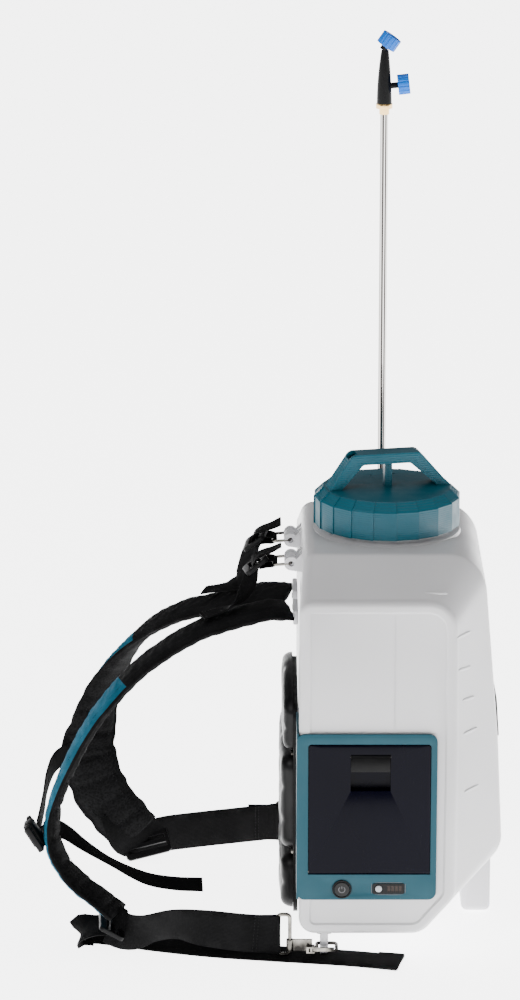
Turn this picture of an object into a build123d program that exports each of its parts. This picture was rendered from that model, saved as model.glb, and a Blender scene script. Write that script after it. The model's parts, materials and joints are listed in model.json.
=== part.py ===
from build123d import *
import os
from math import cos, radians, sin

os.makedirs("parts", exist_ok=True)

# Backpack sprayer with a battery pump. Millimetres, +Z up.
# The origin is on the floor under the axis of the filler neck.
# -X faces the wearer's back, -Y is the battery side and +Y is the lance side.

# ---------------------------------------------------------------- driving dimensions
tank_half_width = 182.0      # the side panels stand this far from the middle
core_half_width = 105.0      # the full-depth middle of the tank
tank_front = -98.0           # front wall, towards the wearer
tank_rear = 127.0            # the lowest, deepest point of the rear wall
tank_floor = 28.0
deck_height = 439.0          # flat top that carries the filler neck
side_panel_top = 407.0
side_panel_rear = 72.0
tank_wall = 3.0

neck_radius = 73.0
neck_wall = 7.0
neck_height = 31.0
cap_radius = 81.5
cap_wall = 5.0
cap_skirt = 31.0
cap_top = 10.0
cap_ribs = 20
cap_bevel = 10.5
handle_width = 24.0
handle_height = 41.0
handle_turn = 12.0           # the carrying handle stands a little off the X axis

frame_left = -100.5          # battery frame on the near side panel
frame_right = 51.4
frame_bottom = 69.7
frame_top = 259.5
frame_proud = 2.5
door_left = -87.4
door_right = 44.1
door_bottom = 99.5
door_top = 247.3
door_thickness = 5.0
housing_depth = 102.0
housing_wall = 3.0
door_gap = 0.7

bay_low_y = -70.0            # pump bay, open towards the back plate and downwards
bay_high_y = 95.0
bay_rear = 20.0
bay_top = 170.0

plate_thickness = 5.0
plate_half_width = 98.0
plate_bottom = 17.9
plate_top = 262.0
pad_clear = 0.3

motor_radius = 22.0
motor_length = 62.0
shaft_radius = 2.5
shaft_clear = 0.05

lance_out = 14.0             # the lance axis stands off the far side panel
lance_x = -0.5
tube_radius = 4.45
tube_bottom = 250.0
tube_top = 872.0
grip_bottom = 62.0
grip_radius = 11.8

webbing_width = 45.0
webbing_thickness = 1.6
strap_width = 62.0
strap_thickness = 12.0
tab_spacing = 177.0          # outer edge of each lower hook tab
tab_x = -70.0
tab_thickness = 8.7
tab_length = 24.0
hook_height = 12.5
lug_y = 46.0
lug_thickness = 7.0

near_y = -tank_half_width
far_y = tank_half_width
face_y = near_y - frame_proud
lance_y = far_y + lance_out


def side_plane(y):
    """A drawing plane square to Y, with X to the right and Z up."""
    return Plane(origin=(0, y, 0), x_dir=(1, 0, 0), z_dir=(0, -1, 0))


def front_plane(x):
    """A drawing plane square to X, looking from the wearer's side."""
    return Plane(origin=(x, 0, 0), x_dir=(0, -1, 0), z_dir=(-1, 0, 0))


def save(piece, label):
    """Labels one finished piece and writes it."""
    piece.part.label = label
    export_step(piece.part, "parts/" + label + ".step")


# ---------------------------------------------------------------- tank
# The outer outline belongs to the middle of the tank and the inner one to its side panels.
tank_edge_round = 14.0
rear_mid_height = 0.52 * deck_height
outer_outline = [
    (tank_front, tank_floor),
    (tank_rear - 69, tank_floor),
    (tank_rear, tank_floor + 74),
    (tank_rear - 6, rear_mid_height),
    (tank_rear - 24, deck_height),
    (tank_front + 4, deck_height),
]
outer_rounds = [18, 30, 30, 600, 45, 14]
inner_outline = [
    (tank_front, tank_floor),
    (side_panel_rear - 36, tank_floor),
    (side_panel_rear, tank_floor + 42),
    (side_panel_rear + 1, rear_mid_height),
    (side_panel_rear, side_panel_top),
    (tank_front, side_panel_top),
]
inner_rounds = [18, 25, 25, 600, 32, 14]
# Each section of the tank: distance from the middle, outline and how far it shrinks.
panel_sections = [
    (tank_half_width, inner_outline, inner_rounds, 7.0),
    (tank_half_width - 2, inner_outline, inner_rounds, 2.6),
    (tank_half_width - 6, inner_outline, inner_rounds, 0.0),
    (core_half_width, outer_outline, outer_rounds, 0.0),
]
tank_sections = [(-y, points, rounds, inset) for y, points, rounds, inset in panel_sections]
tank_sections += [(y, points, rounds, inset) for y, points, rounds, inset in reversed(panel_sections)]


def tank_solid(wall):
    """The tank's outer shape, or its inside when wall is more than nothing."""
    with BuildPart() as solid:
        for y, points, rounds, inset in tank_sections:
            shrink = (tank_half_width - wall) / tank_half_width
            with BuildSketch(side_plane(y * shrink)):
                with BuildLine():
                    FilletPolyline(*points, radius=rounds, close=True)
                make_face()
                if inset + wall > 0:
                    offset(amount=-(inset + wall), mode=Mode.REPLACE)
        loft(ruled=True)
    return solid.part


notch_left = tank_front - 1
notch_right = frame_right - 2.9
notch_bottom = frame_bottom + 2
notch_top = frame_top - 4
notch_depth_y = near_y + housing_depth
foot_low_x = 86.0
foot_high_x = 118.7
foot_half_width = 42.0
drain_x = 10.0
drain_y = 130.0
drain_neck_radius = 10.0
drain_bore = 7.0
drain_neck_end = 15.0
bay_inlet_x = -60.0
bay_inlet_y = 60.0
inlet_bore = 5.0
lug_x = -106.0
lug_height = deck_height - 24
lug_hole = 3.2
anchor_height = 353.0

with BuildPart() as tank:
    add(tank_solid(0))
    # Rear foot under the deepest part of the tank.
    with BuildSketch(Plane.XY):
        with Locations(((foot_low_x + foot_high_x) / 2, 0)):
            RectangleRounded(foot_high_x - foot_low_x, 2 * foot_half_width, 8)
    extrude(amount=tank_floor + 74)
    # Lower tabs that the strap hooks clip into.
    for low_y in (-tab_spacing, tab_spacing - tab_length):
        with BuildSketch(side_plane(low_y + tab_length)):
            with Locations((tab_x, tank_floor / 2 + 4)):
                RectangleRounded(tab_thickness, tank_floor, 1.5)
        extrude(amount=tab_length)
    # Upper lugs that carry the ring of each lifter strap.
    for side in (-1, 1):
        with BuildSketch(side_plane(side * lug_y - lug_thickness / 2 * -1)):
            with Locations((lug_x, lug_height)):
                Circle(7.5)
            with Locations((lug_x + 8, lug_height + 3)):
                Rectangle(14, 18)
        extrude(amount=lug_thickness)
    # Neck of the drain.
    with BuildSketch(Plane.XY.offset(drain_neck_end)):
        with Locations((drain_x, drain_y)):
            Circle(drain_neck_radius)
    extrude(amount=tank_floor + 2 - drain_neck_end)
    # Hook eyes through the tabs.
    with BuildSketch(front_plane(tab_x + tab_thickness)):
        with Locations((tab_spacing - 10, hook_height), (10 - tab_spacing, hook_height)):
            Circle(4.2)
    extrude(amount=2 * tab_thickness, mode=Mode.SUBTRACT)
    with BuildSketch(side_plane(2 * lug_y)):
        with Locations((lug_x, lug_height)):
            Circle(lug_hole)
    extrude(amount=4 * lug_y, mode=Mode.SUBTRACT)
    # The inside, kept one wall away from the battery notch and the pump bay.
    with BuildPart(mode=Mode.PRIVATE) as hollow:
        add(tank_solid(tank_wall))
        with Locations(((notch_left + notch_right) / 2, near_y + housing_depth / 2, (notch_bottom + notch_top) / 2)):
            Box(
                notch_right - notch_left + 2 * tank_wall,
                housing_depth + 2 * tank_wall,
                notch_top - notch_bottom + 2 * tank_wall,
                mode=Mode.SUBTRACT,
            )
        with Locations(((notch_left + bay_rear) / 2, (bay_low_y + bay_high_y) / 2, bay_top / 2)):
            Box(
                bay_rear - notch_left + 2 * tank_wall,
                bay_high_y - bay_low_y + 2 * tank_wall,
                bay_top + 2 * tank_wall,
                mode=Mode.SUBTRACT,
            )
    add(hollow.part, mode=Mode.SUBTRACT)
    # Opening under the filler neck.
    with BuildSketch(Plane.XY.offset(deck_height - 20)):
        Circle(neck_radius - neck_wall)
    extrude(amount=neck_height, mode=Mode.SUBTRACT)
    # Notch for the battery housing, open at the near side and at the front.
    with Locations(((notch_left + notch_right) / 2, near_y + housing_depth / 2 - 1, (notch_bottom + notch_top) / 2)):
        Box(notch_right - notch_left, housing_depth + 2, notch_top - notch_bottom, mode=Mode.SUBTRACT)
    # Pump bay.
    with Locations(((notch_left + bay_rear) / 2, (bay_low_y + bay_high_y) / 2, bay_top / 2)):
        Box(bay_rear - notch_left, bay_high_y - bay_low_y, bay_top, mode=Mode.SUBTRACT)
    # Bores of the pump inlet and of the drain.
    with BuildSketch(Plane.XY.offset(bay_top - 2)):
        with Locations((bay_inlet_x, bay_inlet_y)):
            Circle(inlet_bore)
    extrude(amount=tank_wall + 4, mode=Mode.SUBTRACT)
    with BuildSketch(Plane.XY.offset(drain_neck_end - 1)):
        with Locations((drain_x, drain_y)):
            Circle(drain_bore)
    extrude(amount=tank_floor - drain_neck_end + tank_wall + 4, mode=Mode.SUBTRACT)
save(tank, "tank")

# The neck is one moulding with the tank, kept as a ring of its own.
with BuildPart() as filler_neck:
    with BuildSketch(Plane.XY.offset(deck_height)):
        Circle(neck_radius)
        Circle(neck_radius - neck_wall, mode=Mode.SUBTRACT)
    extrude(amount=neck_height)
save(filler_neck, "filler_neck")

# ---------------------------------------------------------------- cap and filler
cap_bottom = deck_height + 7
cap_inner = cap_radius - cap_wall
neck_top = deck_height + neck_height
gasket_height = 3.0
strainer_flange = 2.0
cap_under = neck_top + strainer_flange + gasket_height + 0.3
cap_top_height = cap_bottom + cap_skirt + cap_top
rib_step = 1.6
handle_top = cap_top_height + handle_height - 2
handle_left = -70.0
handle_right = 72.0
handle_wall = 3.0
handle_slope = 29.0
handle_bar = 11.5
handle_plane = Plane(origin=(0, 0, 0), x_dir=(cos(radians(handle_turn)), sin(radians(handle_turn)), 0),
                     z_dir=(sin(radians(handle_turn)), -cos(radians(handle_turn)), 0))


def handle_outline(inset):
    """Corners of the carrying handle's arch, moved inwards by inset."""
    top = handle_top - inset
    return [
        (handle_left + 1.1 * inset, cap_top_height - 4),
        (handle_left + handle_slope + inset, top),
        (handle_right - handle_slope - 8 - inset, top),
        (handle_right - 1.1 * inset, cap_top_height - 4),
    ]



def cap_outline(radius):
    """The skirt's outline: each flat facet rises to a step that the next one drops from."""
    corners = []
    for index in range(cap_ribs):
        start = radians(360 / cap_ribs * index - 12)
        end = radians(360 / cap_ribs * (index + 1) - 12)
        low = radius - rib_step
        corners.append((low * cos(start), low * sin(start)))
        corners.append((radius * cos(end), radius * sin(end)))
    return corners


with BuildPart() as cap:
    with BuildSketch(Plane.XY.offset(cap_bottom)):
        with BuildLine():
            Polyline(*cap_outline(cap_radius), close=True)
        make_face()
    extrude(amount=cap_skirt)
    with BuildSketch(Plane.XY.offset(cap_bottom + cap_skirt)):
        with BuildLine():
            Polyline(*cap_outline(cap_radius), close=True)
        make_face()
    with BuildSketch(Plane.XY.offset(cap_top_height)):
        with BuildLine():
            Polyline(*cap_outline(cap_radius - cap_bevel), close=True)
        make_face()
    loft(ruled=True)
    # Room for the neck, the strainer flange and the gasket.
    with BuildSketch(Plane.XY.offset(cap_bottom - 1)):
        Circle(cap_inner - rib_step)
    extrude(amount=cap_under - cap_bottom + 1, mode=Mode.SUBTRACT)
    # Carrying handle: a channel that is open underneath.
    with BuildSketch(handle_plane):
        with BuildLine():
            FilletPolyline(*handle_outline(0), radius=9)
            Line(handle_outline(0)[-1], handle_outline(0)[0])
        make_face()
        with BuildLine(mode=Mode.PRIVATE) as gap_line:
            FilletPolyline(*handle_outline(handle_bar), radius=5)
            Line(handle_outline(handle_bar)[-1], handle_outline(handle_bar)[0])
        make_face(gap_line.edges(), mode=Mode.SUBTRACT)
    extrude(amount=handle_width / 2, both=True)
    with BuildSketch(handle_plane):
        with BuildLine():
            FilletPolyline(*handle_outline(handle_wall), radius=7)
            Line(handle_outline(handle_wall)[-1], handle_outline(handle_wall)[0])
        make_face()
        with Locations((0, cap_top_height - 3)):
            Rectangle(2 * cap_radius, 6.01, mode=Mode.SUBTRACT)
    extrude(amount=handle_width / 2 - handle_wall, both=True, mode=Mode.SUBTRACT)
    # Webs that stiffen the channel.
    with BuildSketch(handle_plane):
        with Locations((handle_left + handle_slope + 8, handle_top - handle_bar / 2), (0.6, handle_top - handle_bar / 2),
                       (handle_right - handle_slope - 16, handle_top - handle_bar / 2)):
            Rectangle(3, handle_bar - 1)
    extrude(amount=handle_width / 2 - 1, both=True)
    # Opening at the end of the bar and the post under its middle.
    with Locations(handle_plane.location * Location((handle_left + handle_slope + 1, handle_top - 3, 0), (0, 0, 40))):
        Box(11, 9, handle_width - 2 * handle_wall - 3, mode=Mode.SUBTRACT)
    with BuildSketch(handle_plane):
        with Locations((0.6, (cap_top_height + handle_top - handle_bar) / 2)):
            Rectangle(8, handle_top - handle_bar - cap_top_height + 2)
    extrude(amount=5, both=True)
    # Breather holes.
    with BuildSketch(Plane.XY.offset(cap_under - 1)):
        with Locations((-17, 42), (9, 49)):
            Circle(1.5)
    extrude(amount=cap_top_height - cap_under + 2, mode=Mode.SUBTRACT)
save(cap, "cap")

with BuildPart() as cap_gasket:
    with BuildSketch(Plane.XY.offset(neck_top + strainer_flange)):
        Circle(neck_radius)
        Circle(neck_radius - neck_wall, mode=Mode.SUBTRACT)
    extrude(amount=gasket_height)
save(cap_gasket, "cap_gasket")

breather_seat = 8.0
with BuildPart() as breather_valve:
    with BuildSketch(Plane.XY.offset(cap_under - 2)):
        with Locations((-4, 40)):
            SlotOverall(48, 2 * breather_seat, rotation=14)
    extrude(amount=2)
save(breather_valve, "breather_valve")

strainer_radius = neck_radius - neck_wall - 3
strainer_depth = 74.0
strainer_wall = 1.6
with BuildPart() as strainer_basket:
    with BuildSketch(Plane.XY.offset(neck_top)):
        Circle(neck_radius - 1)
    extrude(amount=strainer_flange)
    with BuildSketch(Plane.XY.offset(neck_top - strainer_depth)):
        Circle(strainer_radius)
    extrude(amount=strainer_depth)
    with BuildSketch(Plane.XY.offset(neck_top - strainer_depth + strainer_wall)):
        Circle(strainer_radius - strainer_wall)
    extrude(amount=strainer_depth + strainer_flange, mode=Mode.SUBTRACT)
    # Windows in the wall and in the floor of the basket.
    for row in range(3):
        with BuildSketch(Plane.XY.offset(neck_top - strainer_depth + 8 + 20 * row)):
            with PolarLocations(strainer_radius, 24):
                Rectangle(8, 9)
        extrude(amount=14, mode=Mode.SUBTRACT)
    with BuildSketch(Plane.XY.offset(neck_top - strainer_depth - 1)):
        with GridLocations(15, 15, 5, 5):
            Circle(5)
    extrude(amount=strainer_wall + 2, mode=Mode.SUBTRACT)
save(strainer_basket, "strainer_basket")

# ---------------------------------------------------------------- battery housing
housing_inner_back = near_y + housing_depth - housing_wall - 0.3
sill_top = door_bottom - door_gap
bay_floor = notch_bottom + 0.3
seam = 0.3
hinge_z = door_bottom + door_thickness / 2
door_outer_y = face_y - 0.6
hinge_y = door_outer_y + door_thickness / 2
pin_radius = 1.2
door_middle = (door_left + door_right) / 2
button_x = -51.1
panel_row = (frame_bottom + sill_top) / 2 - 2.2
button_radius = 8.4
panel_left = -18.0
panel_right = 17.1
panel_height = 12.4

with BuildPart() as battery_housing:
    # Tray inside the notch.
    with BuildSketch(side_plane(near_y + housing_depth - seam)):
        with Locations(((tank_front + notch_right - seam) / 2, (notch_bottom + notch_top) / 2)):
            Rectangle(notch_right - seam - tank_front, notch_top - notch_bottom - 2 * seam)
    extrude(amount=housing_depth - seam)
    # Face frame that laps over the side panel and round the front corner.
    with BuildSketch(side_plane(near_y - 0.3)):
        with Locations(((frame_left + frame_right) / 2, (frame_bottom + frame_top) / 2)):
            RectangleRounded(frame_right - frame_left, frame_top - frame_bottom, 9)
    extrude(amount=frame_proud - 0.3)
    with BuildSketch(side_plane(near_y + housing_depth - 28)):
        with Locations(((frame_left + tank_front) / 2, (frame_bottom + frame_top) / 2)):
            Rectangle(tank_front - frame_left, frame_top - frame_bottom)
    extrude(amount=housing_depth - 28 + 0.3)
    # Battery compartment behind the door.
    with BuildSketch(side_plane(face_y - 1)):
        with Locations((door_middle, (sill_top + door_top + door_gap) / 2)):
            RectangleRounded(door_right - door_left + 2 * door_gap, door_top + door_gap - sill_top, 3.5)
        with Locations((door_middle, (sill_top + door_top - 10) / 2)):
            Rectangle(door_right - door_left + 2 * door_gap, door_top - 10 - sill_top)
    extrude(amount=-(housing_depth - housing_wall - seam + frame_proud + 1), mode=Mode.SUBTRACT)
    # Electronics bay under the sill.
    with BuildSketch(front_plane(door_right)):
        with Locations((-(near_y + housing_depth / 2 + 2), (bay_floor + sill_top) / 2 - 1)):
            Rectangle(housing_depth - 2 * housing_wall - 4, sill_top - bay_floor - 8)
    extrude(amount=door_right - door_left, mode=Mode.SUBTRACT)
    # Holes for the switch, and the window seat.
    with BuildSketch(side_plane(face_y - 1)):
        with Locations((button_x, panel_row)):
            Circle(button_radius + 0.3)
        with Locations(((panel_left + panel_right) / 2, panel_row + 0.6)):
            RectangleRounded(panel_right - panel_left - 3, panel_height - 3, 1)
    extrude(amount=-(frame_proud + 9), mode=Mode.SUBTRACT)
    with BuildSketch(side_plane(face_y - 1)):
        with Locations(((panel_left + panel_right) / 2, panel_row + 0.6)):
            RectangleRounded(panel_right - panel_left, panel_height, 2)
    extrude(amount=-2.5, mode=Mode.SUBTRACT)
    # Seats of the hinge pin at both ends of the door.
    with BuildSketch(front_plane(door_right + 3)):
        with Locations((-hinge_y, hinge_z)):
            Circle(pin_radius)
    extrude(amount=door_right - door_left + 6, mode=Mode.SUBTRACT)
save(battery_housing, "battery_housing")

with BuildPart() as door_hinge_pin:
    with BuildSketch(front_plane(door_right + 2.8)):
        with Locations((-hinge_y, hinge_z)):
            Circle(pin_radius)
    extrude(amount=door_right - door_left + 5.6)
save(door_hinge_pin, "door_hinge_pin")

latch_left = -42.3
latch_right = 1.1
latch_top = 236.6
latch_split = 216.8
recess_bottom = 195.0
pocket_wall = 1.8
pocket_depth = 13.0
latch_pin_z = latch_top - 3.6
latch_pin_y = door_outer_y + 4.2
latch_pin_radius = 1.2
latch_middle = (latch_left + latch_right) / 2

with BuildPart() as battery_door:
    with BuildSketch(side_plane(door_outer_y + door_thickness)):
        with Locations((door_middle, (hinge_z + door_top) / 2)):
            Rectangle(door_right - door_left, door_top - hinge_z)
    extrude(amount=door_thickness)
    fillet(battery_door.edges().filter_by(Axis.Y).sort_by(Axis.Z)[-2:], radius=3)
    # Round lower edge about the hinge pin.
    with BuildSketch(front_plane(door_right)):
        with Locations((-hinge_y, hinge_z)):
            Circle(door_thickness / 2)
    extrude(amount=door_right - door_left)
    # Latch pocket behind the finger recess.
    with BuildSketch(side_plane(door_outer_y + pocket_depth)):
        with Locations((latch_middle, (recess_bottom + latch_top) / 2)):
            RectangleRounded(latch_right - latch_left + 2 * pocket_wall, latch_top - recess_bottom + 2 * pocket_wall, 3)
    extrude(amount=pocket_depth - door_thickness)
    with BuildSketch(side_plane(door_outer_y + pocket_depth - pocket_wall)):
        with Locations((latch_middle, (recess_bottom + latch_top) / 2)):
            RectangleRounded(latch_right - latch_left, latch_top - recess_bottom, 0.4)
    extrude(amount=pocket_depth, mode=Mode.SUBTRACT)
    # Pin holes of the hinge and of the latch.
    with BuildSketch(front_plane(door_right + 1)):
        with Locations((-hinge_y, hinge_z)):
            Circle(pin_radius + shaft_clear)
    extrude(amount=door_right - door_left + 2, mode=Mode.SUBTRACT)
    with BuildSketch(front_plane(latch_right + pocket_wall - 0.4)):
        with Locations((-latch_pin_y, latch_pin_z)):
            Circle(latch_pin_radius)
    extrude(amount=latch_right - latch_left + 2 * pocket_wall - 0.8, mode=Mode.SUBTRACT)
save(battery_door, "battery_door")

with BuildPart() as latch_pin:
    with BuildSketch(front_plane(latch_right + pocket_wall - 0.5)):
        with Locations((-latch_pin_y, latch_pin_z)):
            Circle(latch_pin_radius)
    extrude(amount=latch_right - latch_left + 2 * pocket_wall - 1)
save(latch_pin, "latch_pin")

latch_gap = 0.4
latch_reach = 2.2
with BuildPart() as door_latch:
    with BuildSketch(side_plane(door_outer_y + 3)):
        with Locations((latch_middle, (latch_split + latch_pin_z) / 2)):
            Rectangle(latch_right - latch_left - 2 * latch_gap, latch_pin_z - latch_split)
    extrude(amount=3)
    with BuildSketch(front_plane(latch_right - latch_gap)):
        with Locations((-latch_pin_y, latch_pin_z)):
            Circle(latch_reach + 1)
        with Locations((-(door_outer_y + 3.5), latch_split + 1.5)):
            Rectangle(7, 3)
    extrude(amount=latch_right - latch_left - 2 * latch_gap)
    with BuildSketch(front_plane(latch_right + 1)):
        with Locations((-latch_pin_y, latch_pin_z)):
            Circle(latch_pin_radius + shaft_clear)
    extrude(amount=latch_right - latch_left + 2, mode=Mode.SUBTRACT)
save(door_latch, "door_latch")

with BuildPart() as door_gasket:
    with BuildSketch(side_plane(housing_inner_back - 62)):
        with Locations((door_middle, (sill_top + door_top) / 2 + 4)):
            RectangleRounded(door_right - door_left, door_top - sill_top - 12, 4)
            RectangleRounded(door_right - door_left - 7, door_top - sill_top - 19, 4, mode=Mode.SUBTRACT)
    extrude(amount=4)
save(door_gasket, "door_gasket")

pack_width = 76.0
pack_length = 116.0
pack_depth = 56.0
pack_y = housing_inner_back - 8 - pack_depth / 2
with BuildPart() as terminal_block:
    with BuildSketch(side_plane(housing_inner_back)):
        with Locations((door_middle, sill_top + 68)):
            RectangleRounded(60, 96, 3)
    extrude(amount=7.8)
    with BuildSketch(side_plane(housing_inner_back - 7.8)):
        with Locations((door_middle - 24, sill_top + 68), (door_middle + 24, sill_top + 68)):
            Rectangle(5, 90)
    extrude(amount=-5, mode=Mode.SUBTRACT)
save(terminal_block, "terminal_block")

with BuildPart() as battery_pack:
    with BuildSketch(side_plane(pack_y + pack_depth / 2)):
        with Locations((door_middle, sill_top + 8 + pack_length / 2)):
            RectangleRounded(pack_width, pack_length, 8)
    extrude(amount=pack_depth - 12)
    with BuildSketch(side_plane(pack_y - pack_depth / 2 + 12)):
        with Locations((door_middle, sill_top + 8 + pack_length / 2)):
            RectangleRounded(pack_width, pack_length, 8)
    with BuildSketch(side_plane(pack_y - pack_depth / 2)):
        with Locations((door_middle, sill_top + 8 + pack_length / 2)):
            RectangleRounded(pack_width - 14, pack_length - 14, 8)
    loft()
save(battery_pack, "battery_pack")

board_y = near_y + 14
with BuildPart() as controller_board:
    with BuildSketch(side_plane(board_y + 1.6)):
        with Locations((door_middle, (bay_floor + sill_top) / 2 - 1)):
            Rectangle(110, sill_top - bay_floor - 9)
    extrude(amount=1.6)
    # Tactile switch behind the power button, and the driver chips.
    with BuildSketch(side_plane(board_y)):
        with Locations((button_x, panel_row)):
            Rectangle(6, 6)
        with Locations((panel_left + 7, panel_row)):
            Rectangle(4, 4)
    extrude(amount=3)
    with BuildSketch(side_plane(board_y + 1.6)):
        with Locations((-30, panel_row + 1), (25, panel_row + 1)):
            Rectangle(12, 8)
    extrude(amount=-4)
save(controller_board, "controller_board")

button_travel = 1.5
with BuildPart() as power_button:
    with BuildSketch(side_plane(board_y - 3 - button_travel - 0.2)):
        with Locations((button_x, panel_row)):
            Circle(3)
    extrude(amount=board_y - 3 - button_travel - near_y - 1)
    with BuildSketch(side_plane(near_y + 2)):
        with Locations((button_x, panel_row)):
            Circle(button_radius)
    extrude(amount=frame_proud + 3.6)
    fillet(power_button.faces().sort_by(Axis.Y)[0].edges(), radius=0.9)
save(power_button, "power_button")

check_x = panel_left + 6.9
check_radius = 3.6
with BuildPart() as indicator_panel:
    with BuildSketch(side_plane(face_y + 1.5)):
        with Locations(((panel_left + panel_right) / 2, panel_row + 0.6)):
            RectangleRounded(panel_right - panel_left - 0.2, panel_height - 0.2, 1.9)
        with Locations((check_x, panel_row + 0.4)):
            Circle(check_radius + 0.3, mode=Mode.SUBTRACT)
    extrude(amount=1.9)
    with BuildSketch(side_plane(face_y - 0.4)):
        with GridLocations(4.1, 0, 4, 1):
            with Locations((6.2, panel_row + 0.6)):
                Rectangle(3.1, 6.4)
    extrude(amount=-0.9, mode=Mode.SUBTRACT)
save(indicator_panel, "indicator_panel")

with BuildPart() as led_window:
    with BuildSketch(side_plane(face_y + 0.5)):
        with GridLocations(4.1, 0, 4, 1):
            with Locations((6.2, panel_row + 0.6)):
                Rectangle(3.1, 6.4)
    extrude(amount=0.7)
save(led_window, "led_window")

check_travel = 0.8
with BuildPart() as check_button:
    with BuildSketch(side_plane(face_y + 2.6)):
        with Locations((check_x, panel_row + 0.4)):
            Circle(check_radius)
    extrude(amount=3.6)
    with BuildSketch(side_plane(board_y - 3 - check_travel - 0.2)):
        with Locations((check_x, panel_row + 0.4)):
            Circle(1.2)
    extrude(amount=abs(board_y - 3 - check_travel - 0.2 - face_y) - 2)
save(check_button, "check_button")

# ---------------------------------------------------------------- pump
motor_x = -66.0
motor_z = 108.0
motor_back = bay_low_y + 4
head_low_y = motor_back + motor_length
head_size = 46.0
head_length = 40.0
can_wall = 1.2
rotor_clear = 1.0
bearing_radius = 7.0
bearing_width = 5.0
port_radius = 5.0
delivery_x = motor_x + 11
base_thickness = 9.4
base_top = tank_floor - 0.3
outlet_x = -30.0
outlet_y = 84.0

with BuildPart() as motor_can:
    with BuildSketch(side_plane(head_low_y)):
        with Locations((motor_x, motor_z)):
            Circle(motor_radius)
    extrude(amount=motor_length)
    with BuildSketch(side_plane(head_low_y + 1)):
        with Locations((motor_x, motor_z)):
            Circle(motor_radius - can_wall)
    extrude(amount=motor_length - can_wall + 1, mode=Mode.SUBTRACT)
save(motor_can, "motor_can")

with BuildPart() as motor_bearings:
    for y in (head_low_y + 6, motor_back + can_wall + bearing_width):
        with BuildSketch(side_plane(y)):
            with Locations((motor_x, motor_z)):
                Circle(bearing_radius)
                Circle(shaft_radius + shaft_clear, mode=Mode.SUBTRACT)
        extrude(amount=bearing_width)
save(motor_bearings, "motor_bearings")

eccentric_offset = 3.0
eccentric_radius = 7.5
with BuildPart() as motor_rotor:
    with BuildSketch(side_plane(head_low_y - rotor_clear - 2)):
        with Locations((motor_x, motor_z)):
            Circle(motor_radius - can_wall - rotor_clear)
    extrude(amount=motor_length - bearing_width - 9)
    with BuildSketch(side_plane(head_low_y + 18)):
        with Locations((motor_x, motor_z)):
            Circle(shaft_radius)
    extrude(amount=motor_length + 18 - can_wall - 1)
    with BuildSketch(side_plane(head_low_y + 18)):
        with Locations((motor_x, motor_z + eccentric_offset)):
            Circle(eccentric_radius)
    extrude(amount=9)
save(motor_rotor, "motor_rotor")

with BuildPart() as pump_head:
    with BuildSketch(side_plane(head_low_y + head_length)):
        with Locations((motor_x, motor_z)):
            RectangleRounded(head_size, head_size, 6)
    extrude(amount=head_length)
    # Ports: suction from above and delivery downwards.
    for port_x, low, high in (
        (bay_inlet_x, motor_z + head_size / 2 - 2, motor_z + head_size / 2 + 10),
        (delivery_x, motor_z - head_size / 2 - 10, motor_z - head_size / 2 + 2),
    ):
        with BuildSketch(Plane.XY.offset(low)):
            with Locations((port_x, head_low_y + 30)):
                Circle(port_radius)
        extrude(amount=high - low)
    # Seat of the front bearing and room for the eccentric.
    with BuildSketch(side_plane(head_low_y + 6)):
        with Locations((motor_x, motor_z)):
            Circle(bearing_radius)
    extrude(amount=6, mode=Mode.SUBTRACT)
    with BuildSketch(side_plane(head_low_y + 20)):
        with Locations((motor_x, motor_z)):
            Circle(eccentric_radius + eccentric_offset + 2)
    extrude(amount=14, mode=Mode.SUBTRACT)
save(pump_head, "pump_head")

with BuildPart() as pump_diaphragm:
    with BuildSketch(side_plane(head_low_y + head_length + 2.5)):
        with Locations((motor_x, motor_z)):
            RectangleRounded(head_size, head_size, 6)
    extrude(amount=2.5)
save(pump_diaphragm, "pump_diaphragm")

with BuildPart() as pump_valve_cover:
    with BuildSketch(side_plane(head_low_y + head_length + 14)):
        with Locations((motor_x, motor_z)):
            RectangleRounded(head_size, head_size, 6)
    extrude(amount=11.5)
    with BuildSketch(side_plane(head_low_y + head_length + 14)):
        with Locations((motor_x, motor_z)):
            with GridLocations(head_size - 11, head_size - 11, 2, 2):
                Circle(2.6)
    extrude(amount=-2.5)
save(pump_valve_cover, "pump_valve_cover")

hose_radius = 6.5
suction_y = head_low_y + 30
suction_low = motor_z + head_size / 2 + 1
suction_high = bay_top - 4
delivery_top = motor_z - head_size / 2 - 1
delivery_bend = base_top + 26
with BuildPart() as pump_hoses:
    with BuildLine():
        FilletPolyline(
            (bay_inlet_x, suction_y, suction_low),
            (bay_inlet_x, suction_y, suction_low + 12),
            (bay_inlet_x, bay_inlet_y, suction_high - 9),
            (bay_inlet_x, bay_inlet_y, suction_high),
            radius=10,
        )
    with BuildSketch(Plane.XY.offset(suction_low)):
        with Locations((bay_inlet_x, suction_y)):
            Circle(hose_radius)
    sweep()
    with BuildSketch(Plane.XY.offset(suction_low - 1)):
        with Locations((bay_inlet_x, suction_y)):
            Circle(port_radius)
    extrude(amount=10, mode=Mode.SUBTRACT)
    with BuildLine():
        FilletPolyline(
            (delivery_x, suction_y, delivery_top),
            (delivery_x, suction_y, delivery_bend),
            (outlet_x, outlet_y, delivery_bend - 10),
            (outlet_x, outlet_y, base_top + 6),
            radius=7,
        )
    with BuildSketch(Plane.XY.offset(delivery_top)):
        with Locations((delivery_x, suction_y)):
            Circle(hose_radius)
    sweep()
    with BuildSketch(Plane.XY.offset(delivery_top + 1)):
        with Locations((delivery_x, suction_y)):
            Circle(port_radius)
    extrude(amount=-10, mode=Mode.SUBTRACT)
save(pump_hoses, "pump_hoses")

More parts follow.
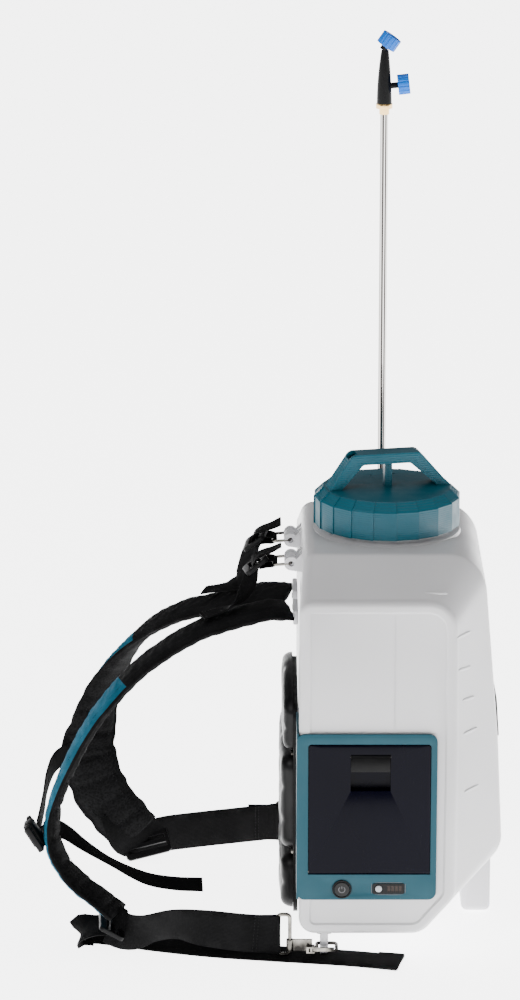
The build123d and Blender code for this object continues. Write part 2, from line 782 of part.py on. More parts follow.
with BuildPart() as tank_outlet_strainer:
    with BuildSketch(Plane.XY.offset(suction_high)):
        with Locations((bay_inlet_x, bay_inlet_y)):
            Circle(hose_radius + 2)
    extrude(amount=bay_top - suction_high)
    with BuildSketch(Plane.XY.offset(bay_top)):
        with Locations((bay_inlet_x, bay_inlet_y)):
            Circle(inlet_bore)
    extrude(amount=tank_wall)
    with BuildSketch(Plane.XY.offset(bay_top + tank_wall)):
        with Locations((bay_inlet_x, bay_inlet_y)):
            Circle(inlet_bore + 5)
    extrude(amount=22)
    with BuildSketch(Plane.XY.offset(bay_top + tank_wall + 3)):
        with PolarLocations(0, 1):
            with Locations((bay_inlet_x, bay_inlet_y)):
                with PolarLocations(inlet_bore + 5, 10):
                    Rectangle(5, 2.6)
    extrude(amount=16, mode=Mode.SUBTRACT)
save(tank_outlet_strainer, "tank_outlet_strainer")

with BuildPart() as outlet_fitting:
    with BuildSketch(Plane.XY.offset(base_top - base_thickness - 1)):
        with Locations((outlet_x, outlet_y)):
            Circle(6)
    extrude(amount=base_thickness + 7)
    with BuildSketch(Plane.XY.offset(base_top - base_thickness - 12)):
        with Locations((outlet_x, outlet_y)):
            RectangleRounded(17, 17, 4)
    extrude(amount=11.7)
    # Hose tail with three barbs.
    with BuildSketch(side_plane(outlet_y + 34)):
        with Locations((outlet_x, base_top - base_thickness - 6.2)):
            Circle(4.2)
    extrude(amount=28)
    for barb in range(3):
        with BuildSketch(side_plane(outlet_y + 32 - 7 * barb)):
            with Locations((outlet_x, base_top - base_thickness - 6.2)):
                Circle(5.2)
        extrude(amount=4)
save(outlet_fitting, "outlet_fitting")

skid_x = -20.0
skid_length = 78.0
skid_width = 120.0
with BuildPart() as base_cover:
    with BuildSketch(Plane.XY.offset(base_top - base_thickness)):
        with Locations(((tank_front + bay_rear + 8) / 2, (bay_low_y + bay_high_y) / 2)):
            RectangleRounded(bay_rear + 8 - tank_front - 2, bay_high_y - bay_low_y + 20, 8)
    extrude(amount=base_thickness)
    # Broad front foot.
    with BuildSketch(Plane.XY):
        with Locations((skid_x, 0)):
            RectangleRounded(skid_length, skid_width, 8)
    extrude(amount=base_top - base_thickness)
    with BuildSketch(Plane.XY.offset(base_top - base_thickness - 1)):
        with Locations((outlet_x, outlet_y)):
            Circle(6)
    extrude(amount=base_thickness + 2, mode=Mode.SUBTRACT)
save(base_cover, "base_cover")

with BuildPart() as drain_cap:
    with BuildSketch(Plane.XY.offset(drain_neck_end - 3.3)):
        with Locations((drain_x, drain_y)):
            RegularPolygon(drain_neck_radius + 4.6, 12)
    extrude(amount=13)
    with BuildSketch(Plane.XY.offset(drain_neck_end - 0.3)):
        with Locations((drain_x, drain_y)):
            Circle(drain_neck_radius + 0.3)
    extrude(amount=14, mode=Mode.SUBTRACT)
    with BuildSketch(Plane.XY.offset(drain_neck_end - 0.3)):
        with Locations((drain_x, drain_y)):
            Circle(drain_bore - 0.3)
    extrude(amount=6)
save(drain_cap, "drain_cap")

# ---------------------------------------------------------------- back plate and pads
plate_back = tank_front - 0.3
plate_front = plate_back - plate_thickness
screw_rows = (89.5, 204.5)
screw_side = plate_half_width - 12
screw_head = 3.6
screw_shank = 2.2
with BuildPart() as back_plate:
    with BuildSketch(front_plane(plate_back)):
        with Locations((0, (plate_bottom + plate_top) / 2)):
            RectangleRounded(2 * plate_half_width, plate_top - plate_bottom, 16)
        for row in screw_rows:
            with Locations((-screw_side, row), (screw_side, row)):
                Circle(screw_shank, mode=Mode.SUBTRACT)
    extrude(amount=plate_thickness)
save(back_plate, "back_plate")

# Cushions: lower edge, upper edge and how far they stand off the plate.
pad_rows = ((22.0, 84.0, 15.5), (95.0, 200.0, 15.5), (209.0, 276.0, 11.0))
pad_bevel = 8.0
pad_inset = 2.0
pad_corner = 14.0
with BuildPart() as back_pads:
    for pad_low, pad_high, pad_depth in pad_rows:
        with BuildSketch(front_plane(plate_front - pad_clear)):
            with Locations((0, (pad_low + pad_high) / 2)):
                RectangleRounded(2 * (plate_half_width - pad_inset), pad_high - pad_low, pad_corner)
        extrude(amount=pad_depth / 2)
        with BuildSketch(front_plane(plate_front - pad_clear - pad_depth / 2)):
            with Locations((0, (pad_low + pad_high) / 2)):
                RectangleRounded(2 * (plate_half_width - pad_inset), pad_high - pad_low, pad_corner)
        with BuildSketch(front_plane(plate_front - pad_depth)):
            with Locations((0, (pad_low + pad_high) / 2)):
                RectangleRounded(2 * (plate_half_width - pad_inset - pad_bevel), pad_high - pad_low - 2 * pad_bevel, pad_corner - 3)
        loft()
save(back_pads, "back_pads")

badge_width = 96.0
badge_tall = 44.0
badge_height = rear_mid_height + 4.0
badge_thickness = 3.0
badge_slope = 0.067
with BuildPart() as badge_plate:
    with BuildSketch(Plane(origin=(tank_rear - 3.2, 0, badge_height), x_dir=(0, 1, 0), z_dir=(1, 0, badge_slope))):
        RectangleRounded(badge_width, badge_tall, 5)
    extrude(amount=-badge_thickness)
save(badge_plate, "badge_plate")

# ---------------------------------------------------------------- lance
nut_bottom = tube_top - 6.5
nozzle_base = tube_top + 6.0
nozzle_tip_x = lance_x + 2.4
nozzle_tip_z = nozzle_base + 68.0
top_cap_tilt = 35.0
top_cap_radius = 11.5
top_cap_length = 14.0
side_axis_z = nozzle_base + 20.7
knob_radius = 11.5
knob_length = 13.0
knob_start = lance_x + 15.2
lance_axis = (lance_x, lance_y)

with BuildPart() as lance_tube:
    with BuildSketch(Plane.XY.offset(tube_bottom)):
        with Locations(lance_axis):
            Circle(tube_radius)
    extrude(amount=tube_top - tube_bottom)
    with BuildSketch(Plane.XY.offset(tube_bottom - 1)):
        with Locations(lance_axis):
            Circle(tube_radius - 0.9)
    extrude(amount=tube_top - tube_bottom + 2, mode=Mode.SUBTRACT)
save(lance_tube, "lance_tube")

with BuildPart() as lance_nut:
    with BuildSketch(Plane.XY.offset(nut_bottom)):
        with Locations(lance_axis):
            Circle(5.6)
    extrude(amount=6.5)
    with BuildSketch(Plane.XY.offset(tube_top)):
        with Locations(lance_axis):
            RegularPolygon(9.4, 6)
    extrude(amount=nozzle_base - tube_top)
    with BuildSketch(Plane.XY.offset(nut_bottom - 1)):
        with Locations(lance_axis):
            Circle(tube_radius)
    extrude(amount=7.5, mode=Mode.SUBTRACT)
    with BuildSketch(Plane.XY.offset(tube_top - 1)):
        with Locations(lance_axis):
            Circle(3)
    extrude(amount=nozzle_base - tube_top + 2, mode=Mode.SUBTRACT)
save(lance_nut, "lance_nut")

top_cap_plane = Plane(
    origin=(nozzle_tip_x - 1.5, lance_y, nozzle_tip_z - 3.5),
    x_dir=(cos(radians(top_cap_tilt)), 0, -sin(radians(top_cap_tilt))),
    z_dir=(sin(radians(top_cap_tilt)), 0, cos(radians(top_cap_tilt))),
)
knob_plane = Plane(origin=(knob_start, lance_y, side_axis_z), x_dir=(0, 1, 0), z_dir=(1, 0, 0.12))
stem_radius = 3.4
with BuildPart() as nozzle_body:
    with BuildSketch(Plane.XY.offset(nozzle_base)):
        with Locations(lance_axis):
            Circle(8.5)
    with BuildSketch(Plane.XY.offset(nozzle_base + 40)):
        with Locations(lance_axis):
            Circle(6.4)
    with BuildSketch(Plane.XY.offset(nozzle_tip_z - 8)):
        with Locations((nozzle_tip_x - 2, lance_y)):
            Circle(4.2)
    loft()
    with BuildSketch(top_cap_plane.offset(-5)):
        Circle(4.2)
    extrude(amount=16)
    with BuildSketch(knob_plane.offset(-16)):
        Circle(stem_radius)
    extrude(amount=26)
    with BuildSketch(Plane.XY.offset(nozzle_base - 1)):
        with Locations(lance_axis):
            Circle(2.6)
    extrude(amount=30, mode=Mode.SUBTRACT)
save(nozzle_body, "nozzle_body")


def spray_knob(plane, radius, length, bore):
    """A fluted spray cap whose blind bore turns on a spigot."""
    with BuildPart() as knob:
        with BuildSketch(plane):
            Circle(radius)
            with PolarLocations(radius + 0.5, 14):
                Circle(1.3, mode=Mode.SUBTRACT)
        extrude(amount=length)
        with BuildSketch(plane.offset(-0.5)):
            Circle(bore)
        extrude(amount=length - 2, mode=Mode.SUBTRACT)
        with BuildSketch(plane.offset(length - 1)):
            Circle(radius - 3.5)
        extrude(amount=2, mode=Mode.SUBTRACT)
        with BuildSketch(plane.offset(length - 3)):
            Circle(0.7)
        extrude(amount=4, mode=Mode.SUBTRACT)
    return knob


nozzle_cap = spray_knob(top_cap_plane, top_cap_radius, top_cap_length, 4.2 + shaft_clear)
save(nozzle_cap, "nozzle_cap")
side_knob = spray_knob(knob_plane, knob_radius, knob_length, stem_radius + shaft_clear)
save(side_knob, "side_knob")

# Hand grip with its valve, standing in the lower holder.
grip_top = tube_bottom + 12
grip_width = 26.0
grip_depth = 24.0
trigger_top = grip_top - 26
trigger_low = grip_bottom + 62
trigger_pin_x = lance_x - grip_width / 2 - 1
trigger_pin_radius = 2.0
trigger_width = 14.0
trigger_travel_gap = 13.0
with BuildPart() as lance_grip:
    with BuildSketch(Plane.XY.offset(grip_bottom)):
        with Locations(lance_axis):
            Circle(grip_radius - 1)
    with BuildSketch(Plane.XY.offset(grip_bottom + 40)):
        with Locations(lance_axis):
            Circle(grip_radius)
    loft()
    with BuildSketch(Plane.XY.offset(grip_bottom + 40)):
        with Locations(lance_axis):
            Circle(grip_radius)
    with BuildSketch(Plane.XY.offset(trigger_top - 14)):
        with Locations(lance_axis):
            Circle(grip_radius - 1.5)
    loft()
    with BuildSketch(Plane.XY.offset(trigger_top - 14)):
        with Locations(lance_axis):
            RectangleRounded(grip_width, grip_depth - 1, 8)
    extrude(amount=grip_top - trigger_top + 6)
    with BuildSketch(Plane.XY.offset(grip_top - 9)):
        with Locations(lance_axis):
            Circle(9)
    extrude(amount=21)
    # Ears of the trigger pivot.
    with BuildSketch(side_plane(lance_y + grip_depth / 2 - 1)):
        with Locations((trigger_pin_x - 3, trigger_top)):
            RectangleRounded(15, 13, 4)
    extrude(amount=grip_depth - 2)
    with BuildSketch(side_plane(lance_y + trigger_width / 2 + 0.5)):
        with Locations((trigger_pin_x - 6, trigger_top)):
            Rectangle(15, 26)
    extrude(amount=trigger_width + 1, mode=Mode.SUBTRACT)
    with BuildSketch(side_plane(lance_y + grip_depth)):
        with Locations((trigger_pin_x - 5, trigger_top)):
            Circle(trigger_pin_radius)
    extrude(amount=2 * grip_depth, mode=Mode.SUBTRACT)
    # Valve bore, tube socket and the passage of the spray hose.
    with BuildSketch(Plane.XY.offset(tube_bottom)):
        with Locations(lance_axis):
            Circle(tube_radius)
    extrude(amount=40, mode=Mode.SUBTRACT)
    with BuildSketch(Plane.XY.offset(grip_bottom - 1)):
        with Locations(lance_axis):
            Circle(3.4)
    extrude(amount=tube_bottom - grip_bottom + 2, mode=Mode.SUBTRACT)
save(lance_grip, "lance_grip")

with BuildPart() as trigger_pin:
    with BuildSketch(side_plane(lance_y + grip_depth / 2 - 1.2)):
        with Locations((trigger_pin_x - 5, trigger_top)):
            Circle(trigger_pin_radius)
    extrude(amount=grip_depth - 2.4)
save(trigger_pin, "trigger_pin")

with BuildPart() as grip_inlet:
    with BuildSketch(Plane.XY.offset(grip_bottom - 6)):
        with Locations(lance_axis):
            Circle(7.2)
    extrude(amount=5.8)
    with BuildSketch(Plane.XY.offset(grip_bottom - 18)):
        with Locations(lance_axis):
            Circle(4.2)
    extrude(amount=13)
    for barb in range(2):
        with BuildSketch(Plane.XY.offset(grip_bottom - 17 + 5 * barb)):
            with Locations(lance_axis):
                Circle(5)
        extrude(amount=3)
    with BuildSketch(Plane.XY.offset(grip_bottom - 19)):
        with Locations(lance_axis):
            Circle(2.4)
    extrude(amount=20, mode=Mode.SUBTRACT)
save(grip_inlet, "grip_inlet")

with BuildPart() as trigger:
    with BuildSketch(side_plane(lance_y + trigger_width / 2)):
        with Locations((trigger_pin_x - 5, trigger_top)):
            Circle(5)
        with BuildLine():
            Polyline(
                (trigger_pin_x - 9.6, trigger_top + 1),
                (trigger_pin_x - trigger_travel_gap - 7, trigger_top - 40),
                (trigger_pin_x - trigger_travel_gap - 5, trigger_low + 10),
                (trigger_pin_x - trigger_travel_gap - 9, trigger_low),
                (trigger_pin_x - trigger_travel_gap - 4, trigger_low),
                (trigger_pin_x - trigger_travel_gap + 0, trigger_low + 12),
                (trigger_pin_x - trigger_travel_gap - 1, trigger_top - 38),
                (trigger_pin_x - 1, trigger_top - 1),
                close=True,
            )
        make_face()
    extrude(amount=trigger_width)
    with BuildSketch(side_plane(lance_y + trigger_width)):
        with Locations((trigger_pin_x - 5, trigger_top)):
            Circle(trigger_pin_radius + shaft_clear)
    extrude(amount=2 * trigger_width, mode=Mode.SUBTRACT)
save(trigger, "trigger")

# Holders on the far side panel: a clip for the tube and a cup for the grip.
clip_z = 352.0
clip_wall = 3.0
holder_clear = 0.35
cup_wall = 1.5
cup_height = 34.0
holder_base = far_y + 0.3
with BuildPart() as lance_holders:
    with BuildSketch(Plane.XY.offset(clip_z - 9)):
        with Locations(lance_axis):
            Circle(tube_radius + holder_clear + clip_wall)
        with Locations((lance_x, (holder_base + lance_y - tube_radius - 2) / 2)):
            Rectangle(13, lance_y - tube_radius - 2 - holder_base)
        with Locations((lance_x, holder_base + 1.5)):
            Rectangle(44, 3)
        with Locations(lance_axis):
            Circle(tube_radius + holder_clear, mode=Mode.SUBTRACT)
        with Locations((lance_x, lance_y + 8)):
            Rectangle(7, 12, mode=Mode.SUBTRACT)
    extrude(amount=18)
    with BuildSketch(Plane.XY.offset(grip_bottom - 5)):
        with Locations(lance_axis):
            Circle(grip_radius + holder_clear + cup_wall)
        with Locations((lance_x, holder_base + 1.5)):
            Rectangle(52, 3)
    extrude(amount=cup_height)
    with BuildSketch(Plane.XY.offset(grip_bottom - 0.4)):
        with Locations(lance_axis):
            Circle(grip_radius + holder_clear)
    extrude(amount=cup_height, mode=Mode.SUBTRACT)
    with BuildSketch(Plane.XY.offset(grip_bottom - 6)):
        with Locations(lance_axis):
            Circle(8.2)
    extrude(amount=cup_height, mode=Mode.SUBTRACT)
save(lance_holders, "lance_holders")

with BuildPart() as case_screws:
    for centre_z, half_span in ((clip_z, 16), (grip_bottom - 5 + cup_height / 2, 20.5)):
        with BuildSketch(side_plane(holder_base + 3)):
            with Locations((lance_x - half_span, centre_z), (lance_x + half_span, centre_z)):
                Circle(screw_head)
        extrude(amount=-2.4)
    for row in screw_rows:
        with BuildSketch(front_plane(plate_back + 0.2)):
            with Locations((-screw_side, row), (screw_side, row)):
                Circle(screw_shank)
        extrude(amount=plate_thickness + 0.3)
        with BuildSketch(front_plane(plate_front)):
            with Locations((-screw_side, row), (screw_side, row)):
                Circle(screw_head)
        extrude(amount=2.4)
        with BuildSketch(front_plane(plate_front - 2.4)):
            with Locations((-screw_side, row), (screw_side, row)):
                RegularPolygon(1.8, 6)
        extrude(amount=-1.6, mode=Mode.SUBTRACT)
save(case_screws, "case_screws")

# ---------------------------------------------------------------- harness
def ribbon(stations, width, thickness):
    """A flat band through hand-placed stations: centre point, then the direction across the band."""
    points = [Vector(*station[:3]) for station in stations]
    with BuildPart() as band:
        for index, station in enumerate(stations):
            ahead = points[min(index + 1, len(points) - 1)]
            behind = points[max(index - 1, 0)]
            along = (ahead - behind).normalized()
            across = Vector(*station[3:])
            across = (across - along * across.dot(along)).normalized()
            with BuildSketch(Plane(origin=points[index], x_dir=across, z_dir=along)):
                Rectangle(width, thickness)
        loft(ruled=True)
    return band


def ladder_lock(centre, across, normal, width):
    """A webbing buckle: a frame with two slots and three bars."""
    plane = Plane(origin=centre, x_dir=across, z_dir=normal)
    slot = 5.0
    with BuildPart() as buckle:
        with BuildSketch(plane.offset(-buckle_thickness / 2)):
            RectangleRounded(width + 9, buckle_length, 5)
            with Locations((0, slot), (0, -slot)):
                Rectangle(width + 1, slot, mode=Mode.SUBTRACT)
        extrude(amount=buckle_thickness)
    return buckle


buckle_thickness = 5.0
buckle_length = 30.0
lifter_width = 25.0
chest_width = 25.0

# The wearer's left strap, on the battery side.
left_strap_route = [
    (-107.5, -40, 354, 0, 1, 0),
    (-118, -42, 356, 0, 1, 0),
    (-137, -48, 356.5, 0, 1, 0),
    (-173, -60, 350, 0, 1, 0),
    (-206, -68, 341, 0, 1, 0),
    (-240, -80, 325, 0, 1, 0),
    (-271, -92, 305, 0, 1, 0),
    (-296, -100, 281, 0, 1, 0),
    (-321, -106, 250, 0.02, 1, 0),
    (-342, -110, 213, 0.04, 1, 0),
    (-360, -115, 172, 0.07, 1, 0),
    (-368, -121, 140, 0.06, 1, 0),
    (-366, -129, 111, 0.02, 1, 0),
    (-354, -137, 89, 0, 1, 0),
    (-336, -145, 72, 0, 1, 0),
    (-314, -152, 57, 0, 1, 0),
    (-296, -158, 44, 0, 1, 0.1),
]
shoulder_strap_left = ribbon(left_strap_route, strap_width, strap_thickness)
save(shoulder_strap_left, "shoulder_strap_left")

# The wearer's right strap turns its padded inner face towards the battery side lower down.
right_strap_route = [
    (-107.5, 38, 352, 0, 1, 0),
    (-118, 40, 351, 0, 1, 0),
    (-137, 48, 348, 0, 1, 0),
    (-165, 56, 340, 0, 1, 0),
    (-199, 68, 328, 0, 1, 0),
    (-231, 80, 316, 0.05, 1, 0),
    (-265, 92, 294, 0.2, 1, 0),
    (-293, 100, 263, 0.45, 0.9, 0),
    (-317, 106, 222, 0.65, 0.75, 0),
    (-330, 110, 181, 0.8, 0.6, 0),
    (-338, 114, 138, 0.96, 0.26, 0),
    (-327, 117, 94, 1, 0.1, 0),
    (-312, 119, 68, 1, 0.05, 0),
    (-296, 121, 48, 1, 0, 0),
    (-282, 123, 34, 1, 0, 0),
]
shoulder_strap_right = ribbon(right_strap_route, strap_width, strap_thickness)
save(shoulder_strap_right, "shoulder_strap_right")

# Plates that clamp the upper strap ends to the tank.
anchor_width = 52.0
anchor_depth = 6.0
anchor_tall = 20.0
anchor_side = 39.0
with BuildPart() as strap_anchors:
    with BuildSketch(front_plane(plate_back)):
        with Locations((-anchor_side, anchor_height), (anchor_side, anchor_height)):
            RectangleRounded(anchor_width, anchor_tall, 3)
    extrude(amount=anchor_depth)
save(strap_anchors, "strap_anchors")

# Lifter straps from the upper lugs down to the shoulder straps.
lifter_route = [
    (-121.5, -46, 413.2, 0, 1, 0),
    (-138, -47, 413, 0.1, 1, 0),
    (-148, -49, 403, 0.35, 1, 0),
    (-153, -52, 388, 0.5, 1, 0),
    (-161, -56, 373, 0.4, 1, 0),
    (-174, -60, 361, 0.1, 1, 0),
    (-186, -63, 354.6, 0, 1, 0),
]
right_lifter_end = (-186, 63, 343, 0, 1, 0)
right_lifter_route = [(x, -y, z, -ax, ay, az) for x, y, z, ax, ay, az in lifter_route[:-1]] + [right_lifter_end]
with BuildPart() as lifter_webbings:
    add(ribbon(lifter_route, lifter_width, webbing_thickness).part)
    add(ribbon(right_lifter_route, lifter_width, webbing_thickness).part)
save(lifter_webbings, "lifter_webbings")

with BuildPart() as lifter_buckles:
    for side in (-1, 1):
        add(ladder_lock((-145, side * 48.5, 411), (0.2 * side, 1, 0), (-0.62, 0, 0.78), lifter_width).part)
save(lifter_buckles, "lifter_buckles")

# Wire rings through the eyes of the lugs.
ring_wire = 1.6
ring_half = lifter_width / 2 + 3
lifter_ring_reach = 19.0
with BuildPart() as lug_rings:
    for side in (-1, 1):
        with BuildLine():
            FilletPolyline(
                (lug_x, side * lug_y - ring_half, lug_height),
                (lug_x, side * lug_y + ring_half, lug_height),
                (lug_x - lifter_ring_reach, side * lug_y + ring_half, lug_height - 1.5),
                (lug_x - lifter_ring_reach, side * lug_y - ring_half, lug_height - 1.5),
                radius=4,
                close=True,
            )
        with BuildSketch(side_plane(side * lug_y)):
            with Locations((lug_x, lug_height)):
                Circle(ring_wire)
        sweep()
save(lug_rings, "lug_rings")

# Lower webbing from the strap ends back to the hook rings.
ring_x = -114.0
ring_y = 180.0
lower_ring_low = 2.8
lower_ring_high = 53.0
lower_ring_width = 13.0
left_webbing_route = [
    (-286, -166, 27, 0, 0.2, 1),
    (-264, -177, 33, 0, -0.5, 1),
    (-232, -184, 41, 0, -0.4, 1),
    (-200, -185, 37, 0, -0.1, 1),
    (-160, -183, 31, 0, 0, 1),
    (ring_x - 5.5, -ring_y, 27, 0, 0, 1),
]
right_webbing_route = [
    (-272, 133, 24, 0.3, 0, 1),
    (-250, 142, 26, 0, 0, 1),
    (-212, 153, 27, 0, 0, 1),
    (-165, 165, 28, 0, 0, 1),
    (ring_x - 5.5, ring_y, 27, 0, 0, 1),
]
with BuildPart() as lower_webbings:
    add(ribbon(left_webbing_route, webbing_width - 1, webbing_thickness).part)
    add(ribbon(right_webbing_route, webbing_width - 1, webbing_thickness).part)
save(lower_webbings, "lower_webbings")

# The left webbing's long free end lies on the floor, passing under the hook tab.
tail_route = [
    (-322, -120, 9, -0.3, 1, 0),
    (-302, -126, 3.4, -0.2, 1, 0),
    (-250, -143, 1.4, 0.2, 1, 0),
    (-190, -160, 1.4, 0.2, 1, 0),
    (-130, -171, 1.4, 0.15, 1, 0),
    (-80, -179, 1.4, 0.15, 1, 0),
    (-35, -187, 1.4, 0.25, 1, 0),
    (13, -199, 1.4, 0.45, 1, 0),
]
webbing_tail = ribbon(tail_route, webbing_width - 1, webbing_thickness)
save(webbing_tail, "webbing_tail")

with BuildPart() as strap_buckles:
    add(ladder_lock((-303, -158, 30), (0, 1, 0.1), (-0.5, 0, -0.86), webbing_width).part)
    add(ladder_lock((-272, 128, 18), (0.95, 0.2, 0.2), (0.1, -0.75, 0.6), webbing_width).part)
save(strap_buckles, "strap_buckles")

# Chest strap: a cross strap from the right strap, its buckle and a free end.
chest_route = [
    (-354, 104, 143, 0.1, 0, 1),
    (-374, 72, 139, 0, 0, 1),
    (-381, 20, 134, 0, 0, 1),
    (-382, -40, 130, 0, 0, 1),
    (-384, -100, 127, 0, 0, 1),
]
chest_tail_route = [
    (-379, -104, 118, 0, 0, 1),
    (-378, -92, 117, 0, 0.1, 1),
    (-370, -81, 115, 0.3, 0.3, 1),
    (-355, -78, 108, 0.3, 0.8, 0.5),
    (-335, -84, 95, 0.1, 1, 0.3),
    (-305, -90, 78, 0, 1, 0.1),
    (-268, -92, 60, 0, 0.9, 0.4),
    (-236, -88, 52, 0, 0.9, 0.5),
    (-206, -84, 49, 0, 0.9, 0.5),
]
with BuildPart() as chest_webbings:
    add(ribbon(chest_route, chest_width, webbing_thickness).part)
    add(ribbon(chest_tail_route, chest_width - 5, webbing_thickness).part)
save(chest_webbings, "chest_webbings")

chest_buckle_size = (13.0, 40.0, 33.0)
chest_plane = Plane(origin=(-387, -130, 126), x_dir=(0.85, 0, 0.52), z_dir=(0, -1, 0))
with BuildPart() as chest_buckle:
    with BuildSketch(chest_plane.offset(-chest_buckle_size[1] / 2)):
        RectangleRounded(chest_buckle_size[0], chest_buckle_size[2], 4)
    extrude(amount=chest_buckle_size[1])
save(chest_buckle, "chest_buckle")

# Snap hooks and their rectangular rings, one of each per side.
ring_wire_radius = 2.1
hook_wire = 1.9
hook_loop_radius = 4.0
hook_low = 3.5
hook_tall = 13.0
eye_y = tab_spacing - 10
gate_length = 25.0
gate_x = -84.0
gate_y = tab_spacing + 9.0
gate_pin_radius = 1.1
fork_length = 9.0
nose_x = gate_x + gate_length + hook_wire + 0.6
ring_left = ring_x - lower_ring_width / 2
ring_right = ring_x + lower_ring_width / 2
with BuildPart() as hook_rings:
    for side in (-1, 1):
        with BuildLine():
            FilletPolyline(
                (ring_left, side * ring_y, lower_ring_low + ring_wire_radius),
                (ring_right, side * ring_y, lower_ring_low + ring_wire_radius),
                (ring_right, side * ring_y, lower_ring_high - ring_wire_radius),
                (ring_left, side * ring_y, lower_ring_high - ring_wire_radius),
                radius=4,
                close=True,
            )
        with BuildSketch(front_plane(ring_x)):
            with Locations((-side * ring_y, lower_ring_low + ring_wire_radius)):
                Circle(ring_wire_radius)
        sweep()
save(hook_rings, "hook_rings")

with BuildPart() as snap_hooks:
    for side in (-1, 1):
        # Eye round the ring's bar and flat shank.
        with BuildSketch(Plane.XY.offset(hook_height - hook_low)):
            with Locations((ring_right, side * ring_y)):
                Circle(hook_loop_radius)
            with Locations(((ring_right + gate_x) / 2 + 2, side * ring_y)):
                Rectangle(gate_x - ring_right - 2, 3)
        extrude(amount=hook_tall)
        # Bent wire through the tab.
        with BuildLine():
            FilletPolyline(
                (gate_x - 3, side * ring_y, hook_height),
                (gate_x + 6, side * ring_y, hook_height),
                (gate_x + 6, side * eye_y, hook_height),
                (nose_x, side * eye_y, hook_height),
                (nose_x, side * (gate_y + 1), hook_height),
                radius=[2.4, 3.0, 4.5],
            )
        with BuildSketch(front_plane(gate_x - 3)):
            with Locations((-side * ring_y, hook_height)):
                Circle(hook_wire)
        sweep()
        # Fork that carries the gate's pin.
        with BuildSketch(Plane.XY.offset(hook_height - hook_low)):
            with Locations((gate_x - 1, side * (gate_y - 1.5))):
                Rectangle(fork_length, 9)
        extrude(amount=2 * hook_low)
        with BuildSketch(Plane.XY.offset(hook_height - 2.3)):
            with Locations((gate_x + 1.5, side * (gate_y + 1.5))):
                Rectangle(fork_length, 8.4)
        extrude(amount=4.6, mode=Mode.SUBTRACT)
        with BuildSketch(Plane.XY):
            with Locations((ring_right, side * ring_y)):
                Circle(ring_wire_radius + 0.3)
            with Locations((gate_x, side * gate_y)):
                Circle(gate_pin_radius)
        extrude(amount=2 * hook_height, mode=Mode.SUBTRACT)
save(snap_hooks, "snap_hooks")

with BuildPart() as gate_pins:
    with BuildSketch(Plane.XY.offset(hook_height - hook_low + 0.2)):
        with Locations((gate_x, -gate_y), (gate_x, gate_y)):
            Circle(gate_pin_radius)
    extrude(amount=2 * hook_low - 0.4)
save(gate_pins, "gate_pins")

for side, gate_name in ((-1, "hook_gate_left"), (1, "hook_gate_right")):
    with BuildPart() as hook_gate:
        with BuildSketch(Plane.XY.offset(hook_height - 2)):
            with Locations((gate_x, side * gate_y)):
                Circle(2.4)
            with Locations((gate_x + gate_length / 2, side * gate_y)):
                Rectangle(gate_length, 2.4)
            with Locations((gate_x, side * gate_y)):
                Circle(gate_pin_radius + shaft_clear, mode=Mode.SUBTRACT)
        extrude(amount=4)
    save(hook_gate, gate_name)
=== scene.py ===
# %% [markdown]
# # A battery backpack sprayer
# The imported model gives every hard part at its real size. This lesson gives the parts their looks:
# a blow-moulded tank, a padded harness, woven webbing, moulded plastic and a little metal.
# Everything is in metres, and the model stands on the floor at z = 0.

# %% Load the frame
import json
import math

import bmesh
import bpy
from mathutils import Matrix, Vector
from mathutils.bvhtree import BVHTree


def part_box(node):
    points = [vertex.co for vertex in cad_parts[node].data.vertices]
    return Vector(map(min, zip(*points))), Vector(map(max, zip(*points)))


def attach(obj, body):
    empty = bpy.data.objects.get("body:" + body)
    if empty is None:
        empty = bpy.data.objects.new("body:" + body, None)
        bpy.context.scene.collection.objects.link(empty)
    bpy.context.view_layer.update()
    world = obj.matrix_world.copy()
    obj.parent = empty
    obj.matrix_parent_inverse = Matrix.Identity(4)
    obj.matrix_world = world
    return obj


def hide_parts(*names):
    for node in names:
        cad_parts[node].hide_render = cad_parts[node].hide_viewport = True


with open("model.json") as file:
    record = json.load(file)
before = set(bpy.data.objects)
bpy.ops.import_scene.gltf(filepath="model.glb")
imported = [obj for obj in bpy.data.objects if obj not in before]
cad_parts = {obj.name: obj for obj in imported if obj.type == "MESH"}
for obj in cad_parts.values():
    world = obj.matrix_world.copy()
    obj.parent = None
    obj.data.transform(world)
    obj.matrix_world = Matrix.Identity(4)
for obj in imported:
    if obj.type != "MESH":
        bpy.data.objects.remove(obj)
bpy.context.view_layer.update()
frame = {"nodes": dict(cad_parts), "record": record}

MM = 0.001

# %% [markdown]
# ## Camera, floor and light
# A long lens a few metres away keeps the tank's edges nearly parallel. The floor is pale and plain,
# and three big soft boxes light the object the way a catalogue studio would.

# %% Camera
view_point = Vector((-0.14013, -4.5, 1.73737))
view_target = Vector((-0.14013, 0.0, 0.46993))
camera_data = bpy.data.cameras.new("camera")
camera_data.sensor_width = 36.0
camera_data.lens = 152.3
camera_data.clip_end = 60.0
camera = bpy.data.objects.new("camera", camera_data)
camera.location = view_point
camera.rotation_euler = (view_target - view_point).to_track_quat("-Z", "Y").to_euler()
bpy.context.scene.collection.objects.link(camera)
bpy.context.scene.camera = camera
print("camera distance", round((view_target - view_point).length, 3))


# %% Lights and floor
def soft_box(name, place, aim, size, power, colour=(1.0, 1.0, 1.0)):
    """A square area light of that size, pointed at aim."""
    data = bpy.data.lights.new(name, "AREA")
    data.shape = "RECTANGLE"
    data.size, data.size_y = size
    data.energy = power
    data.color = colour
    lamp = bpy.data.objects.new(name, data)
    lamp.location = place
    lamp.rotation_euler = (Vector(aim) - Vector(place)).to_track_quat("-Z", "Y").to_euler()
    bpy.context.scene.collection.objects.link(lamp)
    return lamp


